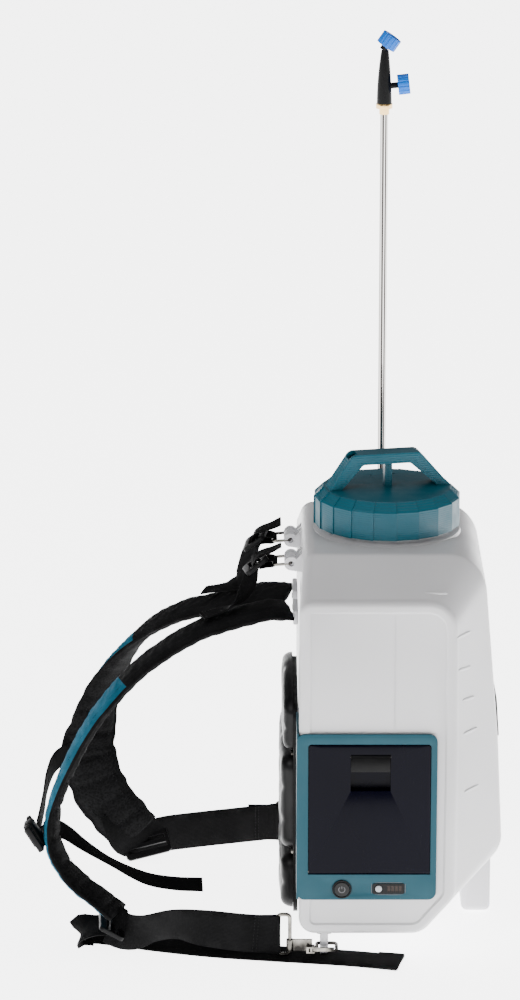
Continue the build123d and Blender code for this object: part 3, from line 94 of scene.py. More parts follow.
middle = (-0.1, 0.0, 0.35)
soft_box("key_light", (-1.6, -2.2, 2.6), middle, (1.1, 1.1), 40)
soft_box("fill_light", (2.4, -1.6, 1.6), middle, (0.9, 2.0), 5)
soft_box("top_light", (0.2, 0.6, 3.2), middle, (2.4, 1.6), 20)
world = bpy.data.worlds.new("studio")
world.use_nodes = True
sky = world.node_tree
sky_place = sky.nodes.new("ShaderNodeTexCoord")
sky_split = sky.nodes.new("ShaderNodeSeparateXYZ")
sky_ramp = sky.nodes.new("ShaderNodeValToRGB")
sky_ramp.color_ramp.elements[0].position = 0.0
sky_ramp.color_ramp.elements[0].color = (0.16, 0.16, 0.165, 1.0)
sky_ramp.color_ramp.elements[1].position = 0.75
sky_ramp.color_ramp.elements[1].color = (1.0, 1.0, 1.0, 1.0)
sky.links.new(sky_place.outputs["Generated"], sky_split.inputs["Vector"])
sky.links.new(sky_split.outputs["Z"], sky_ramp.inputs["Fac"])
sky.links.new(sky_ramp.outputs["Color"], sky.nodes["Background"].inputs["Color"])
sky.nodes["Background"].inputs["Strength"].default_value = 0.6
bpy.context.scene.world = world

floor_size = 24.0
floor_mesh = bpy.data.meshes.new("floor")
floor_mesh.from_pydata(
    [(-floor_size, -floor_size, -0.0006), (floor_size, -floor_size, -0.0006),
     (floor_size, floor_size, -0.0006), (-floor_size, floor_size, -0.0006)], [], [(0, 1, 2, 3)])
floor = bpy.data.objects.new("floor", floor_mesh)
bpy.context.scene.collection.objects.link(floor)

# %% [markdown]
# ## Finishes
# Each finish is one Principled shader. A moulded part gets a fine grain, a woven one gets its
# threads from the piece's own UV map, which is laid out in metres, and metal keeps a faint
# brushed texture; the chrome tube's dark streaks are painted reflections. Numbers that are the same all over
# sit on the shader's sockets.

# %% Shader helpers
def shader(name, colour, roughness, **sockets):
    """A Principled material; an underscore stands for the space in a socket's name."""
    finish = bpy.data.materials.new(name)
    finish.use_nodes = True
    finish.diffuse_color = (*colour, 1.0)
    principled = finish.node_tree.nodes["Principled BSDF"]
    principled.inputs["Base Color"].default_value = (*colour, 1.0)
    principled.inputs["Roughness"].default_value = roughness
    for socket, value in sockets.items():
        principled.inputs[socket.replace("_", " ")].default_value = value
    return finish


def node(finish, kind, **settings):
    """Adds one node; settings are its properties or the values of its sockets."""
    made = finish.node_tree.nodes.new(kind)
    for key, value in settings.items():
        if hasattr(made, key):
            setattr(made, key, value)
        else:
            made.inputs[key.replace("_", " ")].default_value = value
    return made


def join(finish, source, target):
    finish.node_tree.links.new(source, target)


def noise(finish, scale, detail=2.0, coordinates="Object"):
    """Noise on the piece's own coordinates."""
    place = node(finish, "ShaderNodeTexCoord")
    texture = node(finish, "ShaderNodeTexNoise", Scale=scale, Detail=detail)
    join(finish, place.outputs[coordinates], texture.inputs["Vector"])
    return texture.outputs["Fac"]


def bump(finish, height, strength, distance):
    """Puts one more bump under the bumps that the finish already has."""
    principled = finish.node_tree.nodes["Principled BSDF"]
    lift = node(finish, "ShaderNodeBump", Strength=strength, Distance=distance)
    join(finish, height, lift.inputs["Height"])
    if principled.inputs["Normal"].is_linked:
        join(finish, principled.inputs["Normal"].links[0].from_socket, lift.inputs["Normal"])
    join(finish, lift.outputs["Normal"], principled.inputs["Normal"])


def vary(finish, height, socket, low, high, start=0.3, end=0.7):
    """Spreads a height over a range of one socket: a number, or two colours."""
    principled = finish.node_tree.nodes["Principled BSDF"]
    if isinstance(low, tuple):
        ramp = node(finish, "ShaderNodeValToRGB")
        ramp.color_ramp.elements[0].position = start
        ramp.color_ramp.elements[1].position = end
        ramp.color_ramp.elements[0].color = (*low, 1.0)
        ramp.color_ramp.elements[1].color = (*high, 1.0)
        join(finish, height, ramp.inputs["Fac"])
        join(finish, ramp.outputs["Color"], principled.inputs[socket])
        return
    spread = node(finish, "ShaderNodeMapRange")
    for key, value in (("From Min", start), ("From Max", end), ("To Min", low), ("To Max", high)):
        spread.inputs[key].default_value = value
    join(finish, height, spread.inputs["Value"])
    join(finish, spread.outputs["Result"], principled.inputs[socket])


def threads(finish, direction, pitch, shape="SIN"):
    """Parallel threads across one axis of the UV map, pitch metres apart."""
    place = node(finish, "ShaderNodeTexCoord")
    wave = node(finish, "ShaderNodeTexWave", bands_direction=direction, wave_profile=shape,
                Scale=math.pi / 10 / pitch, Distortion=0.0)
    join(finish, place.outputs["UV"], wave.inputs["Vector"])
    return wave.outputs["Fac"]


def combine(finish, first, second, operation="MULTIPLY"):
    math_node = node(finish, "ShaderNodeMath", operation=operation)
    join(finish, first, math_node.inputs[0])
    join(finish, second, math_node.inputs[1])
    return math_node.outputs["Value"]


print("shader helpers ready")


# %% Moulded plastic, rubber and foam
def moulded(name, colour, roughness, shade=0.86, grain=0.12, **sockets):
    """Injection-moulded plastic: fine spark-eroded grain and faint flow variation."""
    finish = shader(name, colour, roughness, **sockets)
    vary(finish, noise(finish, 9.0, 3.0), "Base Color", tuple(c * shade for c in colour), colour)
    vary(finish, noise(finish, 60.0, 3.0), "Roughness", roughness - 0.05, roughness + 0.07)
    bump(finish, noise(finish, 1400.0), grain, 0.0002)
    return finish


teal = moulded("teal_plastic", (0.0015, 0.062, 0.090), 0.4, Specular_IOR_Level=0.22)
teal_dark = moulded("frame_teal", (0.0005, 0.040, 0.058), 0.42, Specular_IOR_Level=0.18)
black = moulded("black_plastic", (0.002, 0.002, 0.0022), 0.4, grain=0.2, Specular_IOR_Level=0.1)
grey = moulded("grey_plastic", (0.30, 0.31, 0.32), 0.4)
blue = moulded("nozzle_blue", (0.0, 0.11, 0.48), 0.4, Specular_IOR_Level=0.2)
rubber = moulded("black_rubber", (0.004, 0.004, 0.004), 0.5, grain=0.1, Specular_IOR_Level=0.2)
foam = moulded("foam_black", (0.002, 0.002, 0.0023), 0.38, grain=0.35, Specular_IOR_Level=0.15)
cap_teal = moulded("cap_teal", (0.0015, 0.062, 0.090), 0.4, Specular_IOR_Level=0.22)
cap_place = node(cap_teal, "ShaderNodeTexCoord")
cap_line_pitch = 2.4 * MM
cap_lines = node(cap_teal, "ShaderNodeTexWave", bands_direction="Z",
                 Scale=math.pi / 10 / cap_line_pitch, Distortion=0.0)
join(cap_teal, cap_place.outputs["Object"], cap_lines.inputs["Vector"])
bump(cap_teal, cap_lines.outputs["Fac"], 0.3, 0.0004)
board = moulded("board_green", (0.015, 0.10, 0.04), 0.35, grain=0.05)
hose = moulded("clear_hose", (0.55, 0.57, 0.55), 0.3, shade=0.93, Subsurface_Weight=0.2)

door_navy = shader("door_navy", (0.0006, 0.0006, 0.003), 0.16, Specular_IOR_Level=0.05)
vary(door_navy, noise(door_navy, 30.0, 3.0), "Roughness", 0.12, 0.2)
vary(door_navy, noise(door_navy, 5.0), "Base Color", (0.0004, 0.0004, 0.0025), (0.0008, 0.0008, 0.004))
panel_dark = shader("panel_dark", (0.0015, 0.0015, 0.0017), 0.2, Specular_IOR_Level=0.12)
vary(panel_dark, noise(panel_dark, 80.0), "Roughness", 0.16, 0.26)
panel_window = shader("panel_window", (0.02, 0.008, 0.006), 0.18, Specular_IOR_Level=0.15)
vary(panel_window, noise(panel_window, 900.0), "Base Color", (0.012, 0.006, 0.005), (0.022, 0.014, 0.01))
print("moulded finishes made")

# %% Blow-moulded tank
tank_white = shader("tank_plastic", (0.50, 0.495, 0.51), 0.36, Subsurface_Weight=0.35,
                    Subsurface_Radius=(0.03, 0.03, 0.032), Subsurface_Scale=0.6, IOR=1.5)
vary(tank_white, noise(tank_white, 3.5, 2.0), "Base Color", (0.46, 0.455, 0.47), (0.55, 0.545, 0.56))
vary(tank_white, noise(tank_white, 24.0, 3.0), "Roughness", 0.3, 0.4)
bump(tank_white, noise(tank_white, 22.0, 3.0), 0.1, 0.0015)
bump(tank_white, noise(tank_white, 900.0), 0.06, 0.0002)
print("tank plastic made")

# %% Metals
steel = shader("steel", (0.30, 0.29, 0.27), 0.2, Metallic=1.0)
vary(steel, noise(steel, 220.0, 4.0), "Roughness", 0.16, 0.36)
vary(steel, noise(steel, 40.0), "Base Color", (0.015, 0.014, 0.013), (0.20, 0.19, 0.17), 0.42, 0.60)
chrome = shader("chrome", (0.52, 0.52, 0.53), 0.09, Metallic=1.0)
# Painted reflection: long dark streaks in the chrome's colour, set round the tube's axis, stand in for the
# dark surroundings that the tube mirrors.
tube_low, tube_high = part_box("lance_tube")
tube_place = node(chrome, "ShaderNodeTexCoord")
tube_shift = node(chrome, "ShaderNodeVectorMath", operation="SUBTRACT")
tube_shift.inputs[1].default_value = ((tube_low.x + tube_high.x) / 2, (tube_low.y + tube_high.y) / 2, 0.0)
tube_flat = node(chrome, "ShaderNodeVectorMath", operation="MULTIPLY")
tube_flat.inputs[1].default_value = (1.0, 1.0, 0.0)
tube_unit = node(chrome, "ShaderNodeVectorMath", operation="NORMALIZE")
painted_reflection_streaks = node(chrome, "ShaderNodeTexNoise", Scale=1.9, Detail=3.0)
join(chrome, tube_place.outputs["Object"], tube_shift.inputs[0])
join(chrome, tube_shift.outputs["Vector"], tube_flat.inputs[0])
join(chrome, tube_flat.outputs["Vector"], tube_unit.inputs[0])
join(chrome, tube_unit.outputs["Vector"], painted_reflection_streaks.inputs["Vector"])
# The streaks swing the base colour from near black to pale: painted reflection, not a texture of the metal.
vary(chrome, painted_reflection_streaks.outputs["Fac"], "Base Color", (0.03, 0.028, 0.026), (0.62, 0.60, 0.58), 0.42, 0.56)
vary(chrome, noise(chrome, 130.0, 3.0), "Roughness", 0.06, 0.14)
bump(chrome, noise(chrome, 300.0), 0.03, 0.0002)
brass = shader("brass", (0.70, 0.47, 0.19), 0.22, Metallic=1.0)
vary(brass, noise(brass, 150.0, 3.0), "Roughness", 0.14, 0.32)
vary(brass, noise(brass, 50.0), "Base Color", (0.60, 0.38, 0.14), (0.76, 0.53, 0.24))
print("metal finishes made")


# %% Cloth
def woven(name, colour, light, across, along, relief, roughness=0.86, **sockets):
    """Cloth whose warp and weft stand across and along metres apart on the UV map."""
    finish = shader(name, colour, roughness, Specular_IOR_Level=0.06, **sockets)
    weave = combine(finish, threads(finish, "X", across), threads(finish, "Y", along))
    bump(finish, weave, relief, 0.0004)
    bump(finish, noise(finish, 60.0, 3.0), 0.25, 0.001)
    fade = combine(finish, weave, noise(finish, 35.0, 3.0), "ADD")
    vary(finish, fade, "Base Color", colour, light, 0.45, 1.3)
    return finish


webbing = woven("webbing", (0.0012, 0.0012, 0.0013), (0.0055, 0.0055, 0.0058), 0.0016, 0.0011, 0.7)
binding = woven("binding_tape", (0.0012, 0.0012, 0.0013), (0.005, 0.005, 0.0053), 0.0009, 0.0009, 0.5)
face_black = woven("strap_fabric", (0.002, 0.002, 0.0022), (0.0085, 0.0085, 0.009), 0.0008, 0.0008, 0.5)
face_teal = woven("teal_fabric", (0.006, 0.060, 0.098), (0.018, 0.105, 0.165), 0.0009, 0.0009, 0.6)
air_mesh = shader("air_mesh", (0.002, 0.002, 0.0022), 0.9, Specular_IOR_Level=0.06)
mesh_place = node(air_mesh, "ShaderNodeTexCoord")
mesh_cells = node(air_mesh, "ShaderNodeTexVoronoi", Scale=420.0)
join(air_mesh, mesh_place.outputs["UV"], mesh_cells.inputs["Vector"])
bump(air_mesh, mesh_cells.outputs["Distance"], 0.8, 0.0006)
vary(air_mesh, mesh_cells.outputs["Distance"], "Base Color",
     (0.0006, 0.0006, 0.0006), (0.0045, 0.0045, 0.0048), 0.1, 0.7)
thread = woven("stitch_thread", (0.010, 0.010, 0.0105), (0.025, 0.025, 0.026), 0.0004, 0.0004, 0.4)

# The floor glows by itself, so the background stays white.
floor_white = shader("floor_white", (0.93, 0.93, 0.935), 0.6,
                     Emission_Color=(1.0, 1.0, 1.0, 1.0), Emission_Strength=5.0)
vary(floor_white, noise(floor_white, 2.0), "Roughness", 0.55, 0.65)
floor.data.materials.append(floor_white)
print("materials:", len(bpy.data.materials))

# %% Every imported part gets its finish
finishes = {
    "tank_plastic": tank_white, "teal_plastic": teal, "frame_teal": teal_dark, "door_navy": door_navy,
    "black_plastic": black, "grey_plastic": grey, "panel_dark": panel_dark, "panel_window": panel_window,
    "black_rubber": rubber, "board_green": board, "clear_hose": hose, "steel": steel, "chrome": chrome,
    "brass": brass, "nozzle_blue": blue, "foam_black": foam, "strap_fabric": face_black, "webbing": webbing,
}
slot_of = {part["node"]: part["material_slot"] for part in frame["record"]["subparts"]}


def dress(part, finish, edge=0.0, angle=30.0):
    """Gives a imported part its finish, welds its loose triangles and rounds its edges by edge metres."""
    part.data.materials.clear()
    part.data.materials.append(finish)
    part.data.polygons.foreach_set("material_index", [0] * len(part.data.polygons))
    weld = part.modifiers.new("weld", "WELD")
    weld.merge_threshold = 0.00001
    if edge:
        bevel = part.modifiers.new("soft_edges", "BEVEL")
        bevel.width = edge
        bevel.segments = 2
        bevel.limit_method = "ANGLE"
        bevel.angle_limit = math.radians(angle)
        bevel.use_clamp_overlap = True
        bevel.harden_normals = False
    part.data.shade_smooth()
    smooth = part.modifiers.new("smooth_by_angle", "EDGE_SPLIT")
    smooth.split_angle = math.radians(angle)


edge_of = {"battery_housing": 1.2, "battery_door": 1.4, "door_latch": 0.8, "cap": 1.2, "back_plate": 1.0,
           "lance_grip": 1.0, "nozzle_body": 0.7, "nozzle_cap": 0.5, "side_knob": 0.5, "trigger": 0.7,
           "lance_holders": 0.8, "base_cover": 1.2, "strap_buckles": 0.8, "lifter_buckles": 0.7,
           "snap_hooks": 0.4, "strap_anchors": 1.0, "drain_cap": 0.6, "pump_head": 0.8, "badge_plate": 0.7,
           "power_button": 0.6, "check_button": 0.5, "indicator_panel": 0.25, "lance_nut": 0.4}
for name, part in frame["nodes"].items():
    dress(part, finishes[slot_of[name]], edge_of.get(name, 0.0) * MM)
frame["nodes"]["cap"].data.materials[0] = cap_teal
print("dressed", len(frame["nodes"]), "packed parts")

# %% [markdown]
# ## The tank
# The real tank is blown from one tube of polyethylene inside a mould, so every edge is a generous
# round and the walls are nowhere quite flat. A loft suits it: one outline for the side panels, one
# for the deep middle, and a smooth blend between them. The battery notch and the pump bay are then
# cut out, and Solidify gives the whole skin its wall, so the lid can be lifted off an empty tank.

# %% Mesh helpers
def as_piece(name, mesh, body="pack", finish=None, sharp=35.0):
    """Links a mesh as one piece that rides on a body, with the given finish."""
    if finish:
        mesh.materials.clear()
        mesh.materials.append(finish)
    mesh.shade_smooth()
    mesh.set_sharp_from_angle(angle=math.radians(sharp))
    piece = bpy.data.objects.new(name, mesh)
    bpy.context.scene.collection.objects.link(piece)
    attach(piece, body)
    return piece


def mesh_of(name, build):
    """A mesh from a bmesh, with doubles merged and its faces turned outwards."""
    bmesh.ops.remove_doubles(build, verts=build.verts, dist=0.000005)
    bmesh.ops.recalc_face_normals(build, faces=build.faces)
    mesh = bpy.data.meshes.new(name)
    build.to_mesh(mesh)
    build.free()
    return mesh


def baked(mesh, *modifiers):
    """The mesh after the given modifiers, each written as (type, settings)."""
    holder = bpy.data.objects.new("holder", mesh)
    bpy.context.scene.collection.objects.link(holder)
    for kind, settings in modifiers:
        modifier = holder.modifiers.new(kind.lower(), kind)
        for key, value in settings.items():
            setattr(modifier, key, value)
    bpy.context.view_layer.update()
    result = bpy.data.meshes.new_from_object(holder.evaluated_get(bpy.context.evaluated_depsgraph_get()))
    result.name = mesh.name
    bpy.data.objects.remove(holder)
    return result


def join_rings(build, rings, closed=False, capped=True):
    """Skins a list of rings of points; each ring is closed, and the ends are capped."""
    layers = [[build.verts.new(point) for point in ring] for ring in rings]
    steps = len(layers) if closed else len(layers) - 1
    for index in range(steps):
        low, high = layers[index], layers[(index + 1) % len(layers)]
        for k in range(len(low)):
            build.faces.new((low[k - 1], low[k], high[k], high[k - 1]))
    if capped and not closed:
        build.faces.new(layers[0])
        build.faces.new(list(reversed(layers[-1])))


def rounded_outline(corners, rounds, steps=9, inset=0.0):
    """A closed outline of (x, z) corners, moved inwards, each corner drawn as an arc of some steps."""
    count = len(corners)
    edges = []
    for k in range(count):
        a, b = Vector(corners[k]), Vector(corners[(k + 1) % count])
        along = (b - a).normalized()
        edges.append((a + Vector((-along.y, along.x)) * inset, along))
    points = []
    for k in range(count):
        (p, d), (q, e) = edges[k - 1], edges[k]
        cross = d.x * e.y - d.y * e.x
        corner = p + d * (((q - p).x * e.y - (q - p).y * e.x) / cross)
        turn = math.atan2(cross, d.dot(e))
        radius = max(rounds[k] - inset, 2 * MM)
        reach = radius * math.tan(abs(turn) / 2)
        centre = corner - d * reach + Vector((-d.y, d.x)) * radius
        start = math.atan2(-(Vector((-d.y, d.x))).y, -(Vector((-d.y, d.x))).x)
        for step in range(steps + 1):
            angle = start + turn * step / steps
            points.append(centre + Vector((math.cos(angle), math.sin(angle))) * radius)
    return points


print("mesh helpers ready")

# %% Outlines of the tank
tank_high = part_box("tank")[1]
neck_low, neck_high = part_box("filler_neck")
neck_rim = neck_high.z
deck = neck_low.z
half_width = tank_high.y
front, rear, floor_line = -98 * MM, 127 * MM, 28 * MM
panel_top, panel_rear = deck - 32 * MM, rear - 55 * MM
middle_height = 0.52 * deck
core_outline = [(front, floor_line), (rear - 69 * MM, floor_line), (rear, floor_line + 74 * MM),
                (rear - 6 * MM, middle_height), (rear - 24 * MM, deck), (front + 4 * MM, deck)]
core_rounds = [r * MM for r in (18, 30, 30, 600, 45, 14)]
panel_outline = [(front, floor_line), (panel_rear - 36 * MM, floor_line), (panel_rear, floor_line + 42 * MM),
                 (panel_rear + 1 * MM, middle_height), (panel_rear, panel_top), (front, panel_top)]
panel_rounds = [r * MM for r in (18, 25, 25, 600, 32, 14)]
bevel_start, bevel_end = 176 * MM, 105 * MM
edge_round = 6 * MM
bevel_soften = 4 * MM


def soft_ramp(value, low, high, soft):
    """Rises from 0 to 1 between low and high, with both corners eased over a length."""
    samples = 9
    total = 0.0
    for k in range(samples):
        shifted = value + soft * (2 * (k + 0.5) / samples - 1)
        total += min(1.0, max(0.0, (shifted - low) / (high - low)))
    return total / samples


def tank_ring(y):
    """The tank's outline at a distance from the middle."""
    away = abs(y)
    core = soft_ramp(bevel_start - away, 0.0, bevel_start - bevel_end, bevel_soften)
    inset = 0.0
    if away > half_width - edge_round:
        inset = edge_round - math.sqrt(max(0.0, edge_round ** 2 - (away - half_width + edge_round) ** 2))
    corners = [Vector(a).lerp(Vector(b), core) for a, b in zip(panel_outline, core_outline)]
    rounds = [a + (b - a) * core for a, b in zip(panel_rounds, core_rounds)]
    return [Vector((p.x, y, p.y)) for p in rounded_outline(corners, rounds, inset=inset)]


def panel_ring(y, inset):
    return [Vector((p.x, y, p.y)) for p in rounded_outline(panel_outline, panel_rounds, inset=inset)]


round_angles = (90, 75, 60, 45, 30, 15, 0)
station_step, station_count = 2 * MM, 40
stations = [half_width - edge_round + edge_round * math.sin(math.radians(a)) for a in round_angles]
stations += [half_width - edge_round - station_step * (k + 1) for k in range(station_count)]
stations += [84 * MM, 68 * MM, 40 * MM, 0.0]
rim_width, rim_drop = 5.0 * MM, 1.8 * MM
shell = bmesh.new()
rings = []
for y in stations:
    rings.append(tank_ring(y))
rings += [tank_ring(-y) for y in reversed(stations[:-1])]
near_panel = [panel_ring(-half_width, edge_round + rim_width),
              panel_ring(-half_width + rim_drop, edge_round + rim_width + 2.2 * MM)]
far_panel = [panel_ring(half_width, edge_round + rim_width),
             panel_ring(half_width - rim_drop, edge_round + rim_width + 2.2 * MM)]
join_rings(shell, list(reversed(far_panel)) + rings + near_panel)
tank_skin = mesh_of("tank_skin", shell)
print("tank skin:", len(tank_skin.polygons), "faces")


# %% Cut the notch, the pump bay and the neck bore
def box_mesh(name, low, high, edge=0.0, steps=3):
    """A box with rounded edges, between two corners."""
    build = bmesh.new()
    bmesh.ops.create_cube(build, size=1.0)
    size = Vector(high) - Vector(low)
    for vert in build.verts:
        vert.co = Vector([low[k] + size[k] * (vert.co[k] + 0.5) for k in range(3)])
    if edge:
        bmesh.ops.bevel(build, geom=build.edges[:], offset=edge, segments=steps, profile=0.5, affect="EDGES")
    return mesh_of(name, build)


def disc_rings(centre, axis, profile, sides=64, start=0.0):
    """Rings about an axis; the profile is a list of (radius, distance along the axis)."""
    axis = Vector(axis).normalized()
    side = axis.orthogonal().normalized() if abs(axis.z) < 0.99 else Vector((1, 0, 0))
    other = axis.cross(side)
    rings = []
    for radius, along in profile:
        ring = []
        for k in range(sides):
            angle = start + 2 * math.pi * k / sides
            turn = side * math.cos(angle) + other * math.sin(angle)
            ring.append(Vector(centre) + axis * along + turn * radius)
        rings.append(ring)
    return rings


def turned(name, centre, axis, profile, sides=64, closed=False):
    """A solid of revolution; a closed profile makes a ring, an open one is capped at both ends."""
    build = bmesh.new()
    join_rings(build, disc_rings(centre, axis, profile, sides), closed=closed)
    return mesh_of(name, build)


def cut_with(mesh, tools):
    """The mesh less each tool mesh, by exact boolean."""
    holders = []
    for tool in tools:
        holder = bpy.data.objects.new("tool", tool)
        bpy.context.scene.collection.objects.link(holder)
        holders.append(holder)
    result = baked(mesh, *[("BOOLEAN", {"object": holder, "operation": "DIFFERENCE", "solver": "EXACT"})
                           for holder in holders])
    for holder in holders:
        bpy.data.objects.remove(holder)
    return result


housing_low, housing_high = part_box("battery_housing")
notch = box_mesh("notch", (front - 8 * MM, -half_width - 8 * MM, housing_low.z + 1.7 * MM),
                 (housing_high.x - 2.9 * MM, housing_high.y + 0.3 * MM, housing_high.z - 3.7 * MM))
pump_bay = box_mesh("pump_bay", (front - 8 * MM, -70 * MM, -8 * MM), (20 * MM, 95 * MM, 170 * MM), 6 * MM)
skin = cut_with(tank_skin, [notch, pump_bay])
skin = baked(skin, ("SOLIDIFY", {"thickness": 2.6 * MM, "offset": -1.0, "use_even_offset": True,
                                 "thickness_clamp": 1.0}))
bore = turned("bore", (0, 0, 0), (0, 0, 1), [(66 * MM, deck - 0.03), (66 * MM, neck_rim + 0.02)])
drain_bore = turned("drain_bore", (10 * MM, 130 * MM, 0), (0, 0, 1), [(7 * MM, -0.01), (7 * MM, 0.05)], 32)
skin = cut_with(skin, [bore, drain_bore])
tank = as_piece("tank_body", skin, finish=tank_white, sharp=32)
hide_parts("tank")
print("tank:", len(tank.data.polygons), "faces, top of the neck at", round(neck_rim, 3))

# %% Neck with its thread, foot, tabs and lugs
neck_outer = 73 * MM
neck_profile = [(66 * MM, deck - 3 * MM), (neck_outer + 9 * MM, deck - 3 * MM),
                (neck_outer + 8 * MM, deck + 0.6 * MM),
                (neck_outer + 2 * MM, deck + 2.2 * MM), (neck_outer, deck + 5 * MM)]
for turn in range(3):
    thread_foot = deck + (10 + 6 * turn) * MM
    neck_profile += [(neck_outer, thread_foot), (neck_outer + 1.4 * MM, thread_foot + 1.2 * MM),
                     (neck_outer + 1.4 * MM, thread_foot + 2.2 * MM), (neck_outer, thread_foot + 3.4 * MM)]
neck_profile += [(neck_outer, neck_rim - 1.5 * MM), (neck_outer - 1.5 * MM, neck_rim),
                 (66 * MM + 1.5 * MM, neck_rim), (66 * MM, neck_rim - 1.5 * MM)]
neck = as_piece("filler_neck", turned("filler_neck", (0, 0, 0), (0, 0, 1), neck_profile, 96, closed=True),
                finish=tank_white, sharp=50)
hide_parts("filler_neck")


def plate_mesh(name, outline, low_y, high_y, edge=0.8 * MM):
    """A plate standing square to Y, from an outline of (x, z) points, with softened edges."""
    build = bmesh.new()
    join_rings(build, [[(x, high_y, z) for x, z in outline], [(x, low_y, z) for x, z in outline]])
    rim = [e for e in build.edges if len(e.link_faces) == 2 and e.calc_face_angle() > math.radians(60)]
    bmesh.ops.bevel(build, geom=rim, offset=edge, segments=2, profile=0.5, affect="EDGES")
    return mesh_of(name, build)


def join_pieces(name, meshes):
    """One mesh out of several closed shells."""
    build = bmesh.new()
    for mesh in meshes:
        build.from_mesh(mesh)
    merged = bpy.data.meshes.new(name)
    build.to_mesh(merged)
    build.free()
    return merged


foot_block = box_mesh("foot", (86 * MM, -42 * MM, 0.0), (118.7 * MM, 42 * MM, 80 * MM), 7 * MM, 4)
drain_neck = turned("drain_neck", (10 * MM, 130 * MM, 0), (0, 0, 1),
                    [(7.2 * MM, 15 * MM), (10 * MM, 15 * MM), (10 * MM, 30 * MM), (7.2 * MM, 30 * MM)],
                    48, closed=True)
parts_of_tank = [foot_block, drain_neck]
for side in (-1, 1):
    tab_near, tab_far = sorted((side * 153 * MM, side * 177 * MM))
    tab = box_mesh("tab", (-74.4 * MM, tab_near, 4 * MM), (-65.6 * MM, tab_far, 32 * MM), 1.6 * MM)
    eye = turned("eye", (-70 * MM, side * 167 * MM, 12.5 * MM), (1, 0, 0),
                 [(4.2 * MM, -0.02), (4.2 * MM, 0.02)], 32)
    parts_of_tank.append(cut_with(tab, [eye]))
    gusset = box_mesh("gusset", (-79 * MM, tab_near + 2 * MM, 25 * MM),
                      (-61 * MM, tab_far - 1 * MM, 33 * MM), 3 * MM)
    parts_of_tank.append(gusset)
feet = as_piece("tank_foot_and_tabs", join_pieces("tank_foot_and_tabs", parts_of_tank),
                finish=tank_white, sharp=40)

lug_x, lug_height, lug_radius = -106 * MM, deck - 24 * MM, 7.6 * MM
lug_parts = []
for side in (-1, 1):
    middle_y = side * 46 * MM
    for shift in (-13.5, 0, 13.5):
        outline = []
        for step in range(17):
            angle = math.radians(40 + 230 * step / 16)
            outline.append((lug_x + lug_radius * math.cos(angle), lug_height + lug_radius * math.sin(angle)))
        outline += [(-92 * MM, deck - 34 * MM), (-92 * MM, deck - 10 * MM)]
        wide = 3.4 * MM if shift else 3.5 * MM
        lug = plate_mesh("lug", list(reversed(outline)),
                         middle_y + shift * MM - wide, middle_y + shift * MM + wide, 1.2 * MM)
        hole = turned("hole", (lug_x, middle_y, lug_height), (0, 1, 0),
                      [(3.2 * MM, -0.05), (3.2 * MM, 0.05)], 24)
        lug_parts.append(cut_with(lug, [hole]))
lugs = as_piece("strap_lugs", join_pieces("strap_lugs", lug_parts), finish=tank_white, sharp=40)
print("neck, foot, tabs and", len(lug_parts), "lugs made")

# %% Level marks and the mould's parting line
mark_width, mark_proud = 3.2 * MM, 1.3 * MM
marks = [((61.2, 182, 412.5), (76.9, 171.7, 410.5)), ((71.8, 182, 366.7), (88.4, 148.8, 364)),
         ((75.7, 175.8, 328.6), (89.4, 149.7, 324.7)), ((80.5, 167.7, 292), (93.3, 145, 289)),
         ((82, 166.2, 253.4), (96.8, 141.7, 252.4)), ((84, 164.5, 186.3), (99.7, 140.5, 186))]


def onto_tank(tree, point, outward):
    """The point of the tank's skin that lies inwards from a place outside it."""
    hit = tree.ray_cast(Vector(point) + Vector(outward) * 0.03, -Vector(outward))
    return hit[0] if hit[0] else Vector(point)


def raised_line(points, width, proud):
    """A low bar with a rounded top along points on the skin; each point has its outward normal."""
    rings = []
    for k, (point, normal) in enumerate(points):
        ahead = points[min(k + 1, len(points) - 1)][0] - points[max(k - 1, 0)][0]
        across = ahead.cross(normal).normalized()
        taper = 0.4 if k in (0, len(points) - 1) else 1.0
        rings.append([point - normal * proud - across * width / 2 * taper,
                      point + normal * proud * 0.6 * taper - across * width / 2 * taper,
                      point + normal * proud * taper - across * width / 5 * taper,
                      point + normal * proud * taper + across * width / 5 * taper,
                      point + normal * proud * 0.6 * taper + across * width / 2 * taper,
                      point - normal * proud + across * width / 2 * taper])
    build = bmesh.new()
    join_rings(build, rings)
    return mesh_of("line", build)


skin_tree = BVHTree.FromPolygons([v.co for v in tank.data.vertices],
                                 [p.vertices[:] for p in tank.data.polygons])
line_meshes = []
for side in (-1, 1):
    outward = Vector((0.79, 0.61 * side, 0.0))
    for start, end in marks:
        a, b = [Vector((x * MM, side * y * MM, z * MM)) for x, y, z in (start, end)]
        path = []
        for k in range(9):
            spot = onto_tank(skin_tree, a.lerp(b, k / 8), outward)
            path.append((spot, outward))
        line_meshes.append(raised_line(path, mark_width, mark_proud))
    seam_x = 5 * MM
    seam_path = []
    for k in range(24):
        height = housing_high.z + 6 * MM + (panel_top - 22 * MM - housing_high.z) * k / 23
        spot = onto_tank(skin_tree, Vector((seam_x, side * half_width, height)), Vector((0, side, 0)))
        seam_path.append((spot, Vector((0, side, 0))))
    line_meshes.append(raised_line(seam_path, 1.1 * MM, 0.25 * MM))
mark_lines = as_piece("level_marks", join_pieces("level_marks", line_meshes), finish=tank_white, sharp=60)
print("level marks and seam lines:", len(line_meshes))
